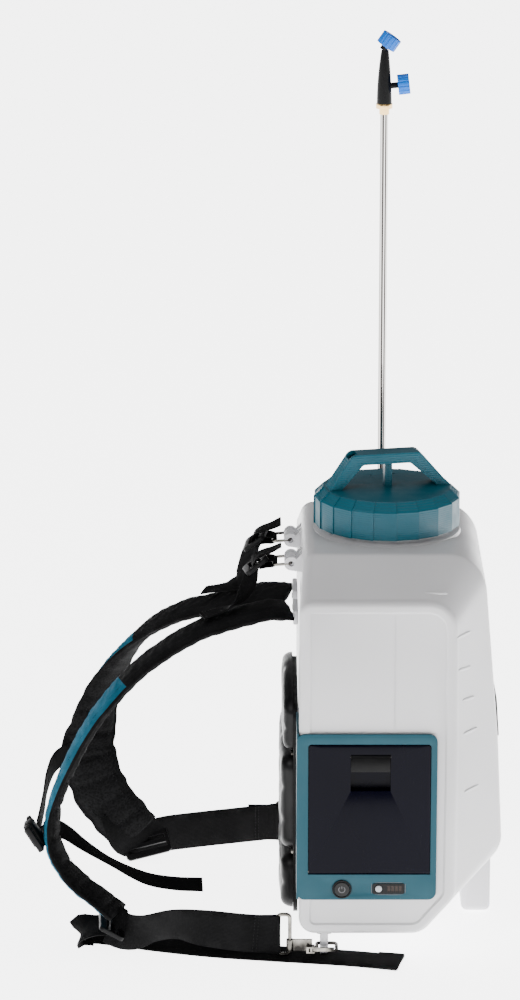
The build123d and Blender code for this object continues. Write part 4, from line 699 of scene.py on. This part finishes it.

# %% [markdown]
# ## The harness
# A padded strap is two fabrics over a strip of foam, closed with a binding tape and sewn through in
# channels. It is long, thin and curved, so it is swept: listed stations give its middle line
# and the direction across it, and each section is pulled in at the binding and at the channels.
# The creases are moved in by formula, because a cloth simulation would round off the thin edges.
# The UV map runs in metres across and along, so every weave keeps its true size.

# %% Smooth route through stations
def catmull(points, per_span):
    """Points on a smooth curve through the given vectors, per_span steps between two of them."""
    padded_points = [points[0] * 2 - points[1]] + points + [points[-1] * 2 - points[-2]]
    result = []
    for k in range(1, len(padded_points) - 2):
        a, b, c, d = padded_points[k - 1:k + 3]
        for step in range(per_span):
            t = step / per_span
            result.append(0.5 * (2 * b + (c - a) * t + (2 * a - 5 * b + 4 * c - d) * t * t
                                 + (3 * b - a - 3 * c + d) * t ** 3))
    result.append(padded_points[-2].copy())
    return result


def route_frames(stations, pitch):
    """Evenly spaced (place, along, across, outward, distance) along stations of place and across."""
    places = catmull([Vector(s[:3]) * MM for s in stations], 14)
    across = catmull([Vector(s[3:6]).normalized() for s in stations], 14)
    travelled = [0.0]
    for k in range(1, len(places)):
        travelled.append(travelled[-1] + (places[k] - places[k - 1]).length)
    count = max(4, round(travelled[-1] / pitch))
    frames = []
    cursor = 0
    for k in range(count + 1):
        distance = travelled[-1] * k / count
        while cursor < len(travelled) - 2 and travelled[cursor + 1] < distance:
            cursor += 1
        part = (distance - travelled[cursor]) / max(travelled[cursor + 1] - travelled[cursor], 1e-9)
        along = (places[cursor + 1] - places[cursor]).normalized()
        place = places[cursor].lerp(places[cursor + 1], part)
        side = across[cursor].lerp(across[cursor + 1], part)
        side = (side - along * side.dot(along)).normalized()
        frames.append([place, along, side, side.cross(along), distance])
    for k in range(1, len(frames) - 1):
        frames[k][1] = (frames[k + 1][0] - frames[k - 1][0]).normalized()
        side = frames[k][2] - frames[k][1] * frames[k][2].dot(frames[k][1])
        frames[k][2] = side.normalized()
        frames[k][3] = frames[k][2].cross(frames[k][1])
    return frames


def sweep_section(name, frames, section, materials, zone, ends=True):
    """Sweeps section(distance, index) -> list of (across, out, u) along frames, with a UV map in metres."""
    build = bmesh.new()
    uv = build.loops.layers.uv.new("UVMap")
    rows, texture = [], []
    for index, (place, along, side, outward, distance) in enumerate(frames):
        ring = section(distance, index)
        rows.append([build.verts.new(place + side * a + outward * o) for a, o, _ in ring])
        texture.append([(u, distance) for _, _, u in ring])
    count = len(rows[0])
    girth = texture[0][-1][0] + (texture[0][-1][0] - texture[0][-2][0])
    for index in range(len(rows) - 1):
        for k in range(count):
            after = (k + 1) % count
            here, ahead = rows[index], rows[index + 1]
            face = build.faces.new((here[k], here[after], ahead[after], ahead[k]))
            wrapped = girth if after == 0 else texture[index][after][0]
            values = (texture[index][k], (wrapped, texture[index][0][1]),
                      (wrapped, texture[index + 1][0][1]), texture[index + 1][k])
            for loop, value in zip(face.loops, values):
                loop[uv].uv = value
            face.material_index = zone(texture[index][k][1], k)
    if ends:
        for row, turned_row in ((rows[0], True), (rows[-1], False)):
            face = build.faces.new(list(reversed(row)) if turned_row else row)
            face.material_index = zone(0.0, 0)
    bmesh.ops.recalc_face_normals(build, faces=build.faces)
    mesh = bpy.data.meshes.new(name)
    build.to_mesh(mesh)
    build.free()
    for material in materials:
        mesh.materials.append(material)
    return mesh


print("routes and sweeps ready")


# %% Padded strap
pad_outer_points, pad_side_points = 13, 5


def ripple(distance, *waves):
    """A sum of sines, each (size, wavelength, phase): the uneven pull of hand sewing."""
    return sum(size * math.sin(2 * math.pi * distance / length + phase) for size, length, phase in waves)


def cushion_section(width, thick, length, quilting, phase):
    """The section of a padded strap: crowned faces between channels and a rolled binding at each edge."""
    edge_radius = 2.1 * MM

    def section(distance, index):
        closing = min(1.0, distance / (22 * MM), (length - distance) / (16 * MM))
        closing = math.sin(closing * math.pi / 2) ** 0.6 if closing > 0 else 0.0
        half = width / 2 * (0.93 + 0.07 * closing) - edge_radius
        wave = ripple(distance, (0.9 * MM, 41 * MM, phase), (0.5 * MM, 23 * MM, 2.1 * phase))
        opposite = ripple(distance, (0.8 * MM, 37 * MM, phase + 1.9), (0.5 * MM, 19 * MM, 1.3 * phase))
        body = thick / 2 * (0.34 + 0.66 * closing)
        quilt = 1.0
        for line in quilting:
            quilt -= 0.42 * math.exp(-((distance - line) / (3.2 * MM)) ** 2)
        ring = []
        for k in range(pad_outer_points):
            u = 2 * k / (pad_outer_points - 1) - 1
            crown = (1 - abs(u) ** 3.2) ** 0.62
            channel = 1 - 0.30 * math.exp(-((abs(u) - 0.72) / 0.07) ** 2)
            crease = ripple(distance + 9 * MM * u,
                            (0.45 * MM, 13 * MM, phase + 3 * u), (0.3 * MM, 29 * MM, 5 * u))
            ring.append((u * half + (wave if u > 0 else opposite) * abs(u),
                         edge_radius * 0.5 + body * crown * channel + crease * crown, (u + 1) * half))
        for k in range(pad_side_points):
            angle = math.pi / 2 - math.pi * (k + 0.5) / pad_side_points
            ring.append((half + wave + edge_radius * (0.4 + math.cos(angle)), edge_radius * math.sin(angle),
                         2 * half + 1.4 * MM * k))
        for k in range(pad_outer_points):
            u = 1 - 2 * k / (pad_outer_points - 1)
            crown = (1 - abs(u) ** 3.2) ** 0.62
            crease = ripple(distance - 7 * MM * u, (0.4 * MM, 17 * MM, phase + 2 * u))
            ring.append((u * half + (wave if u > 0 else opposite) * abs(u),
                         -edge_radius * 0.5 - body * crown * quilt - crease * crown,
                         3 * half + 7 * MM - u * half))
        for k in range(pad_side_points):
            angle = -math.pi / 2 - math.pi * (k + 0.5) / pad_side_points
            ring.append((-half + opposite + edge_radius * (math.cos(angle) - 0.4),
                         edge_radius * math.sin(angle),
                         4 * half + 8 * MM + 1.4 * MM * k))
        return ring
    return section


def strap_zone(seam):
    """Which finish a strip has: outer black, outer teal, inner mesh or binding."""
    def zone(distance, k):
        if k < pad_outer_points - 1:
            return 0 if distance < seam else 1
        if pad_outer_points + pad_side_points <= k < 2 * pad_outer_points + pad_side_points - 1:
            return 2
        return 3
    return zone


strap_width, strap_thickness = 62 * MM, 13.4 * MM


def padded_strap(name, stations, seam, quilting, phase, stands_for):
    """One shoulder strap, made and hung on the pack, with its imported part hidden; gives back its frames."""
    frames = route_frames(stations, 3.0 * MM)
    length = frames[-1][4]
    section = cushion_section(strap_width, strap_thickness, length, quilting, phase)
    mesh = sweep_section(name, frames, section, [face_black, face_teal, air_mesh, binding], strap_zone(seam))
    mesh.shade_smooth()
    strap = bpy.data.objects.new(name, mesh)
    bpy.context.scene.collection.objects.link(strap)
    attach(strap, "pack")
    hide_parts(stands_for)
    print(name, "is", round(length, 3), "m long and has", len(mesh.polygons), "faces")
    return frames


left_stations = [
    (-107.5, -40, 354, 0, 1, 0), (-118, -42, 356, 0, 1, 0), (-137, -48, 356.5, 0, 1, 0),
    (-173, -60, 350, 0, 1, 0), (-206, -68, 341, 0, 1, 0), (-240, -80, 325, 0, 1, 0),
    (-271, -92, 305, 0, 1, 0), (-296, -100, 281, 0, 1, 0), (-321, -106, 250, 0.02, 1, 0),
    (-342, -110, 213, 0.04, 1, 0), (-360, -115, 172, 0.07, 1, 0), (-368, -121, 140, 0.08, 1, 0),
    (-366, -129, 111, 0.05, 1, 0), (-354, -137, 89, 0, 1, 0), (-336, -145, 72, 0, 1, 0),
    (-314, -152, 57, 0, 1, 0), (-296, -158, 44, 0, 1, 0.1)]
right_stations = [
    (-107.5, 38, 352, 0, 1, 0), (-118, 40, 351, 0, 1, 0), (-137, 48, 348, 0, 1, 0), (-165, 56, 340, 0, 1, 0),
    (-199, 68, 328, 0, 1, 0), (-231, 80, 316, 0.05, 1, 0), (-265, 92, 294, 0.2, 1, 0),
    (-293, 100, 263, 0.45, 0.9, 0), (-317, 106, 222, 0.65, 0.75, 0), (-330, 110, 181, 0.8, 0.6, 0),
    (-338, 114, 138, 0.96, 0.26, 0), (-327, 117, 94, 1, 0.1, 0), (-312, 119, 68, 1, 0.05, 0),
    (-296, 121, 48, 1, 0, 0), (-282, 123, 34, 1, 0, 0)]
left_frames = padded_strap("shoulder_strap_left_padded", left_stations, 205 * MM,
                           [(330 + 34 * k) * MM for k in range(6)], 0.4, "shoulder_strap_left")
right_frames = padded_strap("shoulder_strap_right_padded", right_stations, 190 * MM,
                            [(300 + 31 * k) * MM for k in range(6)], 1.7, "shoulder_strap_right")


# %% [markdown]
# ## Webbing
# Webbing is one thick woven tape. It is swept like the straps, but its section is a flat tape with
# rounded selvages, and where it is folded back and sewn it simply doubles. Stitches are real little
# lengths of thread: Geometry Nodes put one at every pitch along each sewn line.

# %% Webbing and stitches
def tape_section(width, thick, ends_thick=()):
    """A flat tape with rounded selvages; ends_thick lists (from, to, factor) where it is doubled."""
    def section(distance, index):
        half_thick = thick / 2
        for start, end, factor in ends_thick:
            if start <= distance <= end:
                half_thick = thick / 2 * factor
        half = width / 2
        wave = ripple(distance, (0.25 * MM, 33 * MM, 0.0), (0.15 * MM, 11 * MM, 1.0))
        ring = []
        for k in range(5):
            u = k / 2 - 1
            ring.append((u * (half - 0.7 * MM), half_thick + wave * (1 - u * u), (u + 1) * half))
        ring.append((half, 0.0, 2 * half + 0.5 * MM))
        for k in range(5):
            u = 1 - k / 2
            ring.append((u * (half - 0.7 * MM), -half_thick + wave * (1 - u * u), (3 - u) * half + 1 * MM))
        ring.append((-half, 0.0, 4 * half + 1.5 * MM))
        return ring
    return section


def tape(name, stations, width, thick=1.7, pitch=4.0, ends_thick=()):
    """The mesh of one tape, and the frames it follows."""
    frames = route_frames(stations, pitch * MM)
    mesh = sweep_section(name, frames, tape_section(width * MM, thick * MM, ends_thick), [webbing],
                         lambda d, k: 0)
    mesh.shade_smooth()
    mesh.set_sharp_from_angle(angle=math.radians(50))
    return mesh, frames


def web_piece(name, meshes, *stands_for):
    merged = join_pieces(name, meshes)
    merged.materials.append(webbing)
    piece = bpy.data.objects.new(name, merged)
    bpy.context.scene.collection.objects.link(piece)
    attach(piece, "pack")
    if stands_for:
        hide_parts(*stands_for)
    return piece


def on_band(frames, start, end, across, out, steps=24):
    """A line on a band's face, from one distance to another, at a distance across it."""
    line = []
    for k in range(steps + 1):
        distance = start + (end - start) * k / steps
        nearest = min(frames, key=lambda f: abs(f[4] - distance))
        shift = distance - nearest[4]
        line.append(nearest[0] + nearest[1] * shift + nearest[2] * across + nearest[3] * out)
    return line


def cross_row(frames, distance, places, out):
    """A line straight across a band, through places given in millimetres from its middle."""
    return [on_band(frames, distance, distance, a * MM, out * MM, 1)[0] for a in places]


def stitch_tree():
    """Geometry Nodes: a short thread at each pitch along the edges of a mesh of lines."""
    tree = bpy.data.node_groups.new("stitches", "GeometryNodeTree")
    tree.interface.new_socket("Geometry", in_out="INPUT", socket_type="NodeSocketGeometry")
    for label, value in (("Pitch", 3.4 * MM), ("Stitch Length", 2.3 * MM), ("Thread Radius", 0.34 * MM)):
        socket = tree.interface.new_socket(label, in_out="INPUT", socket_type="NodeSocketFloat")
        socket.default_value = value
    tree.interface.new_socket("Material", in_out="INPUT", socket_type="NodeSocketMaterial")
    tree.interface.new_socket("Geometry", in_out="OUTPUT", socket_type="NodeSocketGeometry")
    nodes, links = tree.nodes, tree.links
    entry, leave = nodes.new("NodeGroupInput"), nodes.new("NodeGroupOutput")
    to_curve, resample = nodes.new("GeometryNodeMeshToCurve"), nodes.new("GeometryNodeResampleCurve")
    resample.mode = "LENGTH"
    tangent, align = nodes.new("GeometryNodeInputTangent"), nodes.new("FunctionNodeAlignRotationToVector")
    align.axis = "Z"
    cylinder, instance = nodes.new("GeometryNodeMeshCylinder"), nodes.new("GeometryNodeInstanceOnPoints")
    cylinder.inputs["Vertices"].default_value = 6
    realize, finish = nodes.new("GeometryNodeRealizeInstances"), nodes.new("GeometryNodeSetMaterial")
    links.new(entry.outputs["Geometry"], to_curve.inputs["Mesh"])
    links.new(to_curve.outputs["Curve"], resample.inputs["Curve"])
    links.new(entry.outputs["Pitch"], resample.inputs["Length"])
    links.new(resample.outputs["Curve"], instance.inputs["Points"])
    links.new(tangent.outputs["Tangent"], align.inputs["Vector"])
    links.new(align.outputs["Rotation"], instance.inputs["Rotation"])
    links.new(entry.outputs["Thread Radius"], cylinder.inputs["Radius"])
    links.new(entry.outputs["Stitch Length"], cylinder.inputs["Depth"])
    links.new(cylinder.outputs["Mesh"], instance.inputs["Instance"])
    links.new(instance.outputs["Instances"], realize.inputs["Geometry"])
    links.new(realize.outputs["Geometry"], finish.inputs["Geometry"])
    links.new(entry.outputs["Material"], finish.inputs["Material"])
    links.new(finish.outputs["Geometry"], leave.inputs["Geometry"])
    return tree


stitches_group = stitch_tree()


def sewn(name, lines, finish=None):
    """One piece of stitches along all the lines."""
    vertices, edges = [], []
    for line in lines:
        first = len(vertices)
        vertices += [tuple(point) for point in line]
        edges += [(first + k, first + k + 1) for k in range(len(line) - 1)]
    guide = bpy.data.meshes.new(name + "_lines")
    guide.from_pydata(vertices, edges, [])
    holder = bpy.data.objects.new("stitch_holder", guide)
    bpy.context.scene.collection.objects.link(holder)
    modifier = holder.modifiers.new("stitches", "NODES")
    modifier.node_group = stitches_group
    for item in stitches_group.interface.items_tree:
        if item.item_type == "SOCKET" and item.in_out == "INPUT" and item.name == "Material":
            modifier[item.identifier] = finish or thread
    bpy.context.view_layer.update()
    mesh = bpy.data.meshes.new_from_object(holder.evaluated_get(bpy.context.evaluated_depsgraph_get()))
    bpy.data.objects.remove(holder)
    mesh.name = name
    mesh.shade_smooth()
    piece = bpy.data.objects.new(name, mesh)
    bpy.context.scene.collection.objects.link(piece)
    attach(piece, "pack")
    print(name, "has", len(mesh.polygons) // 8, "stitches")
    return piece


# %% Lower webbings, their hems and the loose tail
left_web, left_web_frames = tape("left_web", [
    (-303, -162, 33, 0, 0.5, 1), (-286, -168, 27, 0, 0.1, 1), (-264, -177, 33, 0, -0.5, 1),
    (-232, -184, 41, 0, -0.4, 1), (-200, -185, 37, 0, -0.1, 1), (-160, -183, 31, 0, 0, 1),
    (-126, -181, 28, 0, 0, 1)], 44)
right_web, right_web_frames = tape("right_web", [
    (-272, 133, 24, 0.3, 0, 1), (-250, 142, 26, 0, 0, 1), (-212, 153, 27, 0, 0, 1), (-165, 165, 28, 0, 0, 1),
    (-126, 177, 28, 0, 0, 1)], 44)

buckle_web = tape("buckle_web", [
    (-312, 121, 62, 0.6, 0.75, 0.1), (-303, 117, 47, 0.7, 0.5, 0.2), (-297, 116, 34, 0.6, 0.3, 0.5),
    (-290, 119, 26, 0.4, 0.1, 0.8), (-279, 126, 24, 0.2, 0, 1), (-268, 134, 24, 0.1, 0, 1),
    (-252, 141, 26, 0, 0, 1)], 42)[0]


def ring_loop(name, route_end, side, length=26.0):
    """The tape's end: round the ring's bar and back along its own inner face."""
    x, y, z = route_end
    loop = [(x, y, z, 0, 0, 1), (x + 4, y + side * 0.4, z, 0, 0, 1), (x + 8.5, y + side * 1.8, z, 0, 0, 1),
            (x + 9.6, y - side * 1.5, z, 0, 0, 1), (x + 7.5, y - side * 4.2, z, 0, 0, 1),
            (x + 3, y - side * 3.0, z, 0, 0, 1), (x - length, y - side * 2.2, z, 0, 0, 1)]
    return tape(name, loop, 44, pitch=1.5)[0]


left_loop = ring_loop("left_loop", (-128, -181, 28), -1)
right_loop = ring_loop("right_loop", (-128, 178, 28), 1)
web_piece("lower_webbing_tapes", [left_web, right_web, left_loop, right_loop, buckle_web],
          "lower_webbings")
tail_mesh, tail_frames = tape("tail_mesh", [
    (-300, -157, 31, 0.1, 1, 0.2), (-318, -150, 26, 0, 1, 0.1), (-333, -139, 17, -0.15, 1, 0),
    (-338, -130, 8.5, -0.3, 1, 0), (-331, -124, 3.2, -0.35, 1, 0), (-316, -122, 2.2, -0.3, 1, 0),
    (-290, -129, 2.0, -0.1, 1, 0), (-250, -143, 1.8, 0.2, 1, 0), (-190, -160, 1.8, 0.2, 1, 0),
    (-130, -171, 1.8, 0.15, 1, 0), (-80, -179, 1.8, 0.15, 1, 0), (-35, -187, 1.8, 0.25, 1, 0),
    (13, -199, 1.8, 0.45, 1, 0)], 44)
tail_length = tail_frames[-1][4]
hem_mesh, hem_frames = tape("hem", [(-14, -194, 3.6, 0.36, 1, 0), (2, -197.5, 3.8, 0.42, 1, 0),
                                    (13.5, -200, 3.5, 0.45, 1, 0)], 43, thick=2.6)
web_piece("webbing_tail_tape", [tail_mesh, hem_mesh], "webbing_tail")
print("webbing tail is", round(tail_length, 3), "m long")

# %% Chest strap, lifters and their free ends
chest_cross = tape("chest_cross", [
    (-354, 104, 143, 0.1, 0, 1), (-374, 72, 139, 0, 0, 1), (-381, 20, 134, 0, 0, 1),
    (-382, -40, 130, 0, 0, 1), (-384, -100, 127, 0, 0, 1), (-385, -116, 126, 0, 0, 1)], 25)[0]
chest_tail = tape("chest_tail", [
    (-383, -118, 118, 0, 0, 1), (-379, -104, 118, 0, 0, 1), (-378, -92, 117, 0, 0.1, 1),
    (-370, -81, 115, 0.3, 0.3, 1), (-355, -78, 108, 0.3, 0.8, 0.5), (-335, -84, 95, 0.1, 1, 0.3),
    (-305, -90, 78, 0, 1, 0.1), (-268, -92, 60, 0, 0.9, 0.4), (-236, -88, 52, 0, 0.9, 0.5),
    (-204, -84, 49, 0.25, 0.9, 0.5)], 20, thick=1.5)[0]
web_piece("chest_webbing_tapes", [chest_cross, chest_tail], "chest_webbings")

lifter_meshes, lifter_rows = [], []
for side in (-1, 1):
    end_z = 354.6 if side < 0 else 343
    lifter_main, lifter_frames = tape("lifter_main", [
        (-141, side * 47.5, 412, -0.3 * side, 1, 0), (-148, side * 49, 402, -0.7 * side, 1, 0),
        (-153, side * 52, 388, -1.0 * side, 1, 0), (-161, side * 56, end_z + 20, -0.8 * side, 1, 0),
        (-173, side * 60, end_z + 11, -0.4 * side, 1, 0), (-186, side * 63, end_z + 6.5, 0, 1, 0),
        (-204, side * 68, end_z + 2.0, 0, 1, 0)], 25, pitch=3)
    ring_strap = tape("ring_strap", [
        (-143, side * 48, 414, 0.1 * side, 1, 0), (-134, side * 47, 416.5, 0, 1, 0),
        (-127, side * 46, 417, 0, 1, 0),
        (-121.6, side * 46, 414, 0, 1, 0), (-126, side * 46, 410.6, 0, 1, 0), (-133, side * 47, 410, 0, 1, 0),
        (-142, side * 48, 408.5, 0.1 * side, 1, 0)], 25, pitch=1.5)[0]
    free_end = tape("free_end", [
        (-149, side * 49, 410, 0.1 * side, 1, 0), (-146, side * 48.5, 418, 0.1 * side, 1, 0),
        (-138, side * 48, 423, 0, 1, 0), (-127, side * 47.5, 427, -0.1 * side, 1, 0),
        (-117, side * 47, 432, -0.2 * side, 1, 0)], 25, pitch=2)[0]
    lifter_meshes += [lifter_main, ring_strap, free_end]
    end = lifter_frames[-1][4]
    for start in (end - 22 * MM, end - 4 * MM):
        lifter_rows.append(cross_row(lifter_frames, start, (-10.5, 0.0, 10.5), 1.3))
    for across in (-10.5 * MM, 10.5 * MM):
        lifter_rows.append(on_band(lifter_frames, end - 22 * MM, end - 4 * MM, across, 1.3 * MM, 6))
web_piece("lifter_webbing_tapes", lifter_meshes, "lifter_webbings")
print("chest webbing: 2 tapes, lifters:", len(lifter_meshes), "meshes")

# %% Stitches of the harness
rows = list(lifter_rows)
for frames, half, out in ((left_frames, 31 * MM, 4.6 * MM), (right_frames, 31 * MM, 4.6 * MM)):
    length = frames[-1][4]
    for edge in (-0.72, 0.72):
        for face in (1, -1):
            rows.append(on_band(frames, 24 * MM, length - 16 * MM, edge * (half - 2 * MM),
                                face * 5.15 * MM, 150))
for frames, side in ((left_web_frames, -1), (right_web_frames, 1)):
    length = frames[-1][4]
    for back in (17, 21):
        for out in (1.25, -1.25):
            rows.append(cross_row(frames, length - back * MM, (-20, 0, 20), out))
end = hem_frames[-1][4]
for back in (6, 10):
    rows.append(cross_row(hem_frames, end - back * MM, (-19, 0, 19), 1.75))
# Box stitch with a cross, that holds the buckle's webbing on the right strap's mesh face.
length = right_frames[-1][4]
low, high, wide, out = length - 46 * MM, length - 26 * MM, 11 * MM, -6.6 * MM
corners = [on_band(right_frames, d, d, a, out, 1)[0]
           for d, a in ((low, -wide), (low, wide), (high, wide), (high, -wide))]
rows += [corners + corners[:1], [corners[0], corners[2]], [corners[1], corners[3]]]
sewn("harness_stitches", rows)

# %% [markdown]
# ## Back pads, buckle and small details
# The back pads are foam pressed in a hot mould: full in the middle, pulled down at the grooves, with
# a tight skin. Each one is a grid over a rounded rectangle whose height falls off at its edge.

# %% Moulded back pads
pads_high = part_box("back_pads")[1]
pad_back = pads_high.x
pad_half = pads_high.y


def moulded_pad(name, low, high, depth, arch, grooves, edge=12 * MM, corner=17 * MM):
    """One cushion between two heights; its top edge arches, and each groove is (height, depth)."""
    across, tall = 72, 44
    half_tall, middle = (high - low) / 2, (high + low) / 2
    build = bmesh.new()
    grid = []
    for j in range(tall + 1):
        row = []
        for k in range(across + 1):
            y = pad_half * math.sin(math.pi * (k / across - 0.5))
            z = half_tall * math.sin(math.pi * (j / tall - 0.5))
            over_y, over_z = abs(y) - (pad_half - corner), abs(z) - (half_tall - corner)
            inside = min(pad_half - abs(y), half_tall - abs(z))
            if over_y > 0 and over_z > 0:
                pull = max(over_y, over_z) / math.hypot(over_y, over_z)
                y = math.copysign(pad_half - corner + over_y * pull, y)
                z = math.copysign(half_tall - corner + over_z * pull, z)
                inside = corner - max(over_y, over_z)
            fall = 1 - min(inside, edge) / edge
            height = depth * math.sqrt(max(0.0, 1 - fall ** 2.4))
            height *= 1 - 0.16 * (y / pad_half) ** 2
            height -= 3.2 * MM * math.exp(-(y / (7 * MM)) ** 2) * (1 - fall)
            for place, deep in grooves:
                height -= deep * math.exp(-((z + middle - place) / (4 * MM)) ** 2) * (1 - fall)
            height += 0.35 * MM * math.sin(y / (13 * MM)) * math.sin(z / (11 * MM)) * (1 - fall)
            drop = arch * (y / pad_half) ** 2 * (z / half_tall + 1) / 2
            row.append(build.verts.new((pad_back - max(height, 0.0), y, middle + z - drop)))
        grid.append(row)
    for j in range(tall):
        for k in range(across):
            build.faces.new((grid[j][k], grid[j][k + 1], grid[j + 1][k + 1], grid[j + 1][k]))
    rim = grid[0] + [row[-1] for row in grid[1:]] + grid[-1][-2::-1] + [row[0] for row in grid[-2:0:-1]]
    build.faces.new(list(reversed(rim)))
    return mesh_of(name, build)


pad_meshes = [moulded_pad("low_pad", 22 * MM, 86 * MM, 15.5 * MM, 1 * MM, [(54 * MM, 2.5 * MM)]),
              moulded_pad("middle_pad", 92 * MM, 203 * MM, 15.5 * MM, 1 * MM,
                          [(128 * MM, 2.5 * MM), (166 * MM, 2.5 * MM)]),
              moulded_pad("top_pad", 207 * MM, 279 * MM, 12.5 * MM, 15 * MM, [(240 * MM, 2.2 * MM)])]
pads = as_piece("back_pads_moulded", join_pieces("back_pads_moulded", pad_meshes), finish=foam, sharp=60)
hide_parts("back_pads")
print("back pads:", len(pads.data.polygons), "faces")

# %% Side-release chest buckle
buckle_place = Vector((-387, -130, 126)) * MM
buckle_out, buckle_along = Vector((-0.85, 0.0, -0.52)).normalized(), Vector((-0.52, 0.0, 0.85)).normalized()


def buckle_block(low, high, edge):
    """A rounded block in the buckle's own directions: out of the chest, along the webbing, up its face."""
    mesh = box_mesh("block", Vector(low) * MM, Vector(high) * MM, edge * MM)
    for vert in mesh.vertices:
        out, along, up = vert.co
        vert.co = buckle_place + buckle_out * out + Vector((0, 1, 0)) * along + buckle_along * up
    build = bmesh.new()
    build.from_mesh(mesh)
    return mesh_of("block", build)


buckle_meshes = [buckle_block((-6, -10, -16), (6, 11, 16), 3.2)]
for rib in range(5):
    buckle_meshes.append(buckle_block((5.2, -8.5 + 4.2 * rib, -11), (7.0, -6.6 + 4.2 * rib, 11), 0.7))
for side in (-1, 1):
    low, high = sorted((side * 12.4, side * 16.2))
    buckle_meshes.append(buckle_block((-3, -17, low), (3, -9, high), 1.2))
    buckle_meshes.append(buckle_block((-2.6, 10, low), (2.6, 20, high), 1.2))
buckle_meshes.append(buckle_block((-3.4, -20, -16.2), (3.4, -15.6, 16.2), 1.6))
buckle_meshes.append(buckle_block((-2.6, 16.6, -16.2), (2.6, 20, 16.2), 1.3))
chest_buckle = as_piece("chest_buckle_release", join_pieces("chest_buckle_release", buckle_meshes),
                        finish=black)
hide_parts("chest_buckle")
print("chest buckle:", len(buckle_meshes), "blocks")

# %% Buttons and indicator panel
button_low, button_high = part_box("power_button")
button_middle = (button_low + button_high) / 2
button_radius = (button_high.x - button_low.x) / 2
button_ring = turned("button_ring", (button_middle.x, button_low.y, button_middle.z), (0, 1, 0),
                     [(button_radius + 0.5 * MM, 1.6 * MM), (button_radius + 0.7 * MM, 0.2 * MM),
                      (button_radius + 1.9 * MM, 0.2 * MM), (button_radius + 2.3 * MM, 2.0 * MM)],
                     64, closed=True)
check_low, check_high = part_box("check_button")
check_middle = (check_low + check_high) / 2
check_radius = (check_high.x - check_low.x) / 2
check_ring = turned("check_ring", (check_middle.x, check_low.y, check_middle.z), (0, 1, 0),
                    [(check_radius + 0.4 * MM, 1.2 * MM), (check_radius + 0.5 * MM, 0.3 * MM),
                     (check_radius + 1.3 * MM, 0.3 * MM), (check_radius + 1.6 * MM, 1.4 * MM)],
                    48, closed=True)
bezels = as_piece("button_bezels", join_pieces("button_bezels", [button_ring, check_ring]),
                  finish=black, sharp=40)
marking = moulded("panel_marking", (0.10, 0.10, 0.105), 0.5, Specular_IOR_Level=0.2)
panel_low, panel_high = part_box("indicator_panel")
outline_paths = []
border = 0.9 * MM
corners = [(panel_low.x - border, panel_low.z - border), (panel_high.x + border, panel_low.z - border),
           (panel_high.x + border, panel_high.z + border), (panel_low.x - border, panel_high.z + border)]
for k in range(4):
    (x0, z0), (x1, z1) = corners[k], corners[(k + 1) % 4]
    line = [(Vector((x0 + (x1 - x0) * t / 4, panel_low.y + 0.9 * MM, z0 + (z1 - z0) * t / 4)),
             Vector((0, -1, 0))) for t in range(5)]
    outline_paths.append(raised_line(line, 0.7 * MM, 0.8 * MM))
panel_frame = as_piece("panel_outline", join_pieces("panel_outline", outline_paths), finish=marking)
symbol = []
for step in range(25):
    angle = math.radians(125 + 290 * step / 24)
    symbol.append((Vector((button_middle.x + 3.4 * MM * math.cos(angle), button_low.y,
                           button_middle.z + 3.4 * MM * math.sin(angle))), Vector((0, -1, 0))))
bar = [(Vector((button_middle.x, button_low.y, button_middle.z + (0.6 + 1.1 * k) * MM)), Vector((0, -1, 0)))
       for k in range(4)]
sign = as_piece("power_symbol", join_pieces("power_symbol", [raised_line(symbol, 0.9 * MM, 0.25 * MM),
                                                           raised_line(bar, 0.9 * MM, 0.25 * MM)]),
                body="power_button", finish=marking)
print("button details made")

# %% Pockets that hold the upper strap ends
anchor_low, anchor_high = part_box("strap_anchors")
anchor_middle = (anchor_low.z + anchor_high.z) / 2
anchor_meshes = []
for side in (-1, 1):
    near, far = sorted((side * 14 * MM, side * 64 * MM))
    anchor_meshes.append(box_mesh("anchor", (anchor_low.x + 0.4 * MM, near, anchor_middle - 8 * MM),
                                  (anchor_high.x, far, anchor_middle + 8 * MM), 2 * MM))
    for screw_y in (side * 22 * MM, side * 56 * MM):
        anchor_meshes.append(turned("head", (anchor_low.x + 0.4 * MM, screw_y, anchor_middle), (-1, 0, 0),
                                    [(3.6 * MM, -1 * MM), (3.6 * MM, 0.3 * MM), (2.6 * MM, 0.9 * MM)], 24))
anchors = as_piece("strap_anchor_pockets", join_pieces("strap_anchor_pockets", anchor_meshes),
                   finish=tank_white)
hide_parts("strap_anchors")
print("strap anchors:", len(anchor_meshes), "shells")
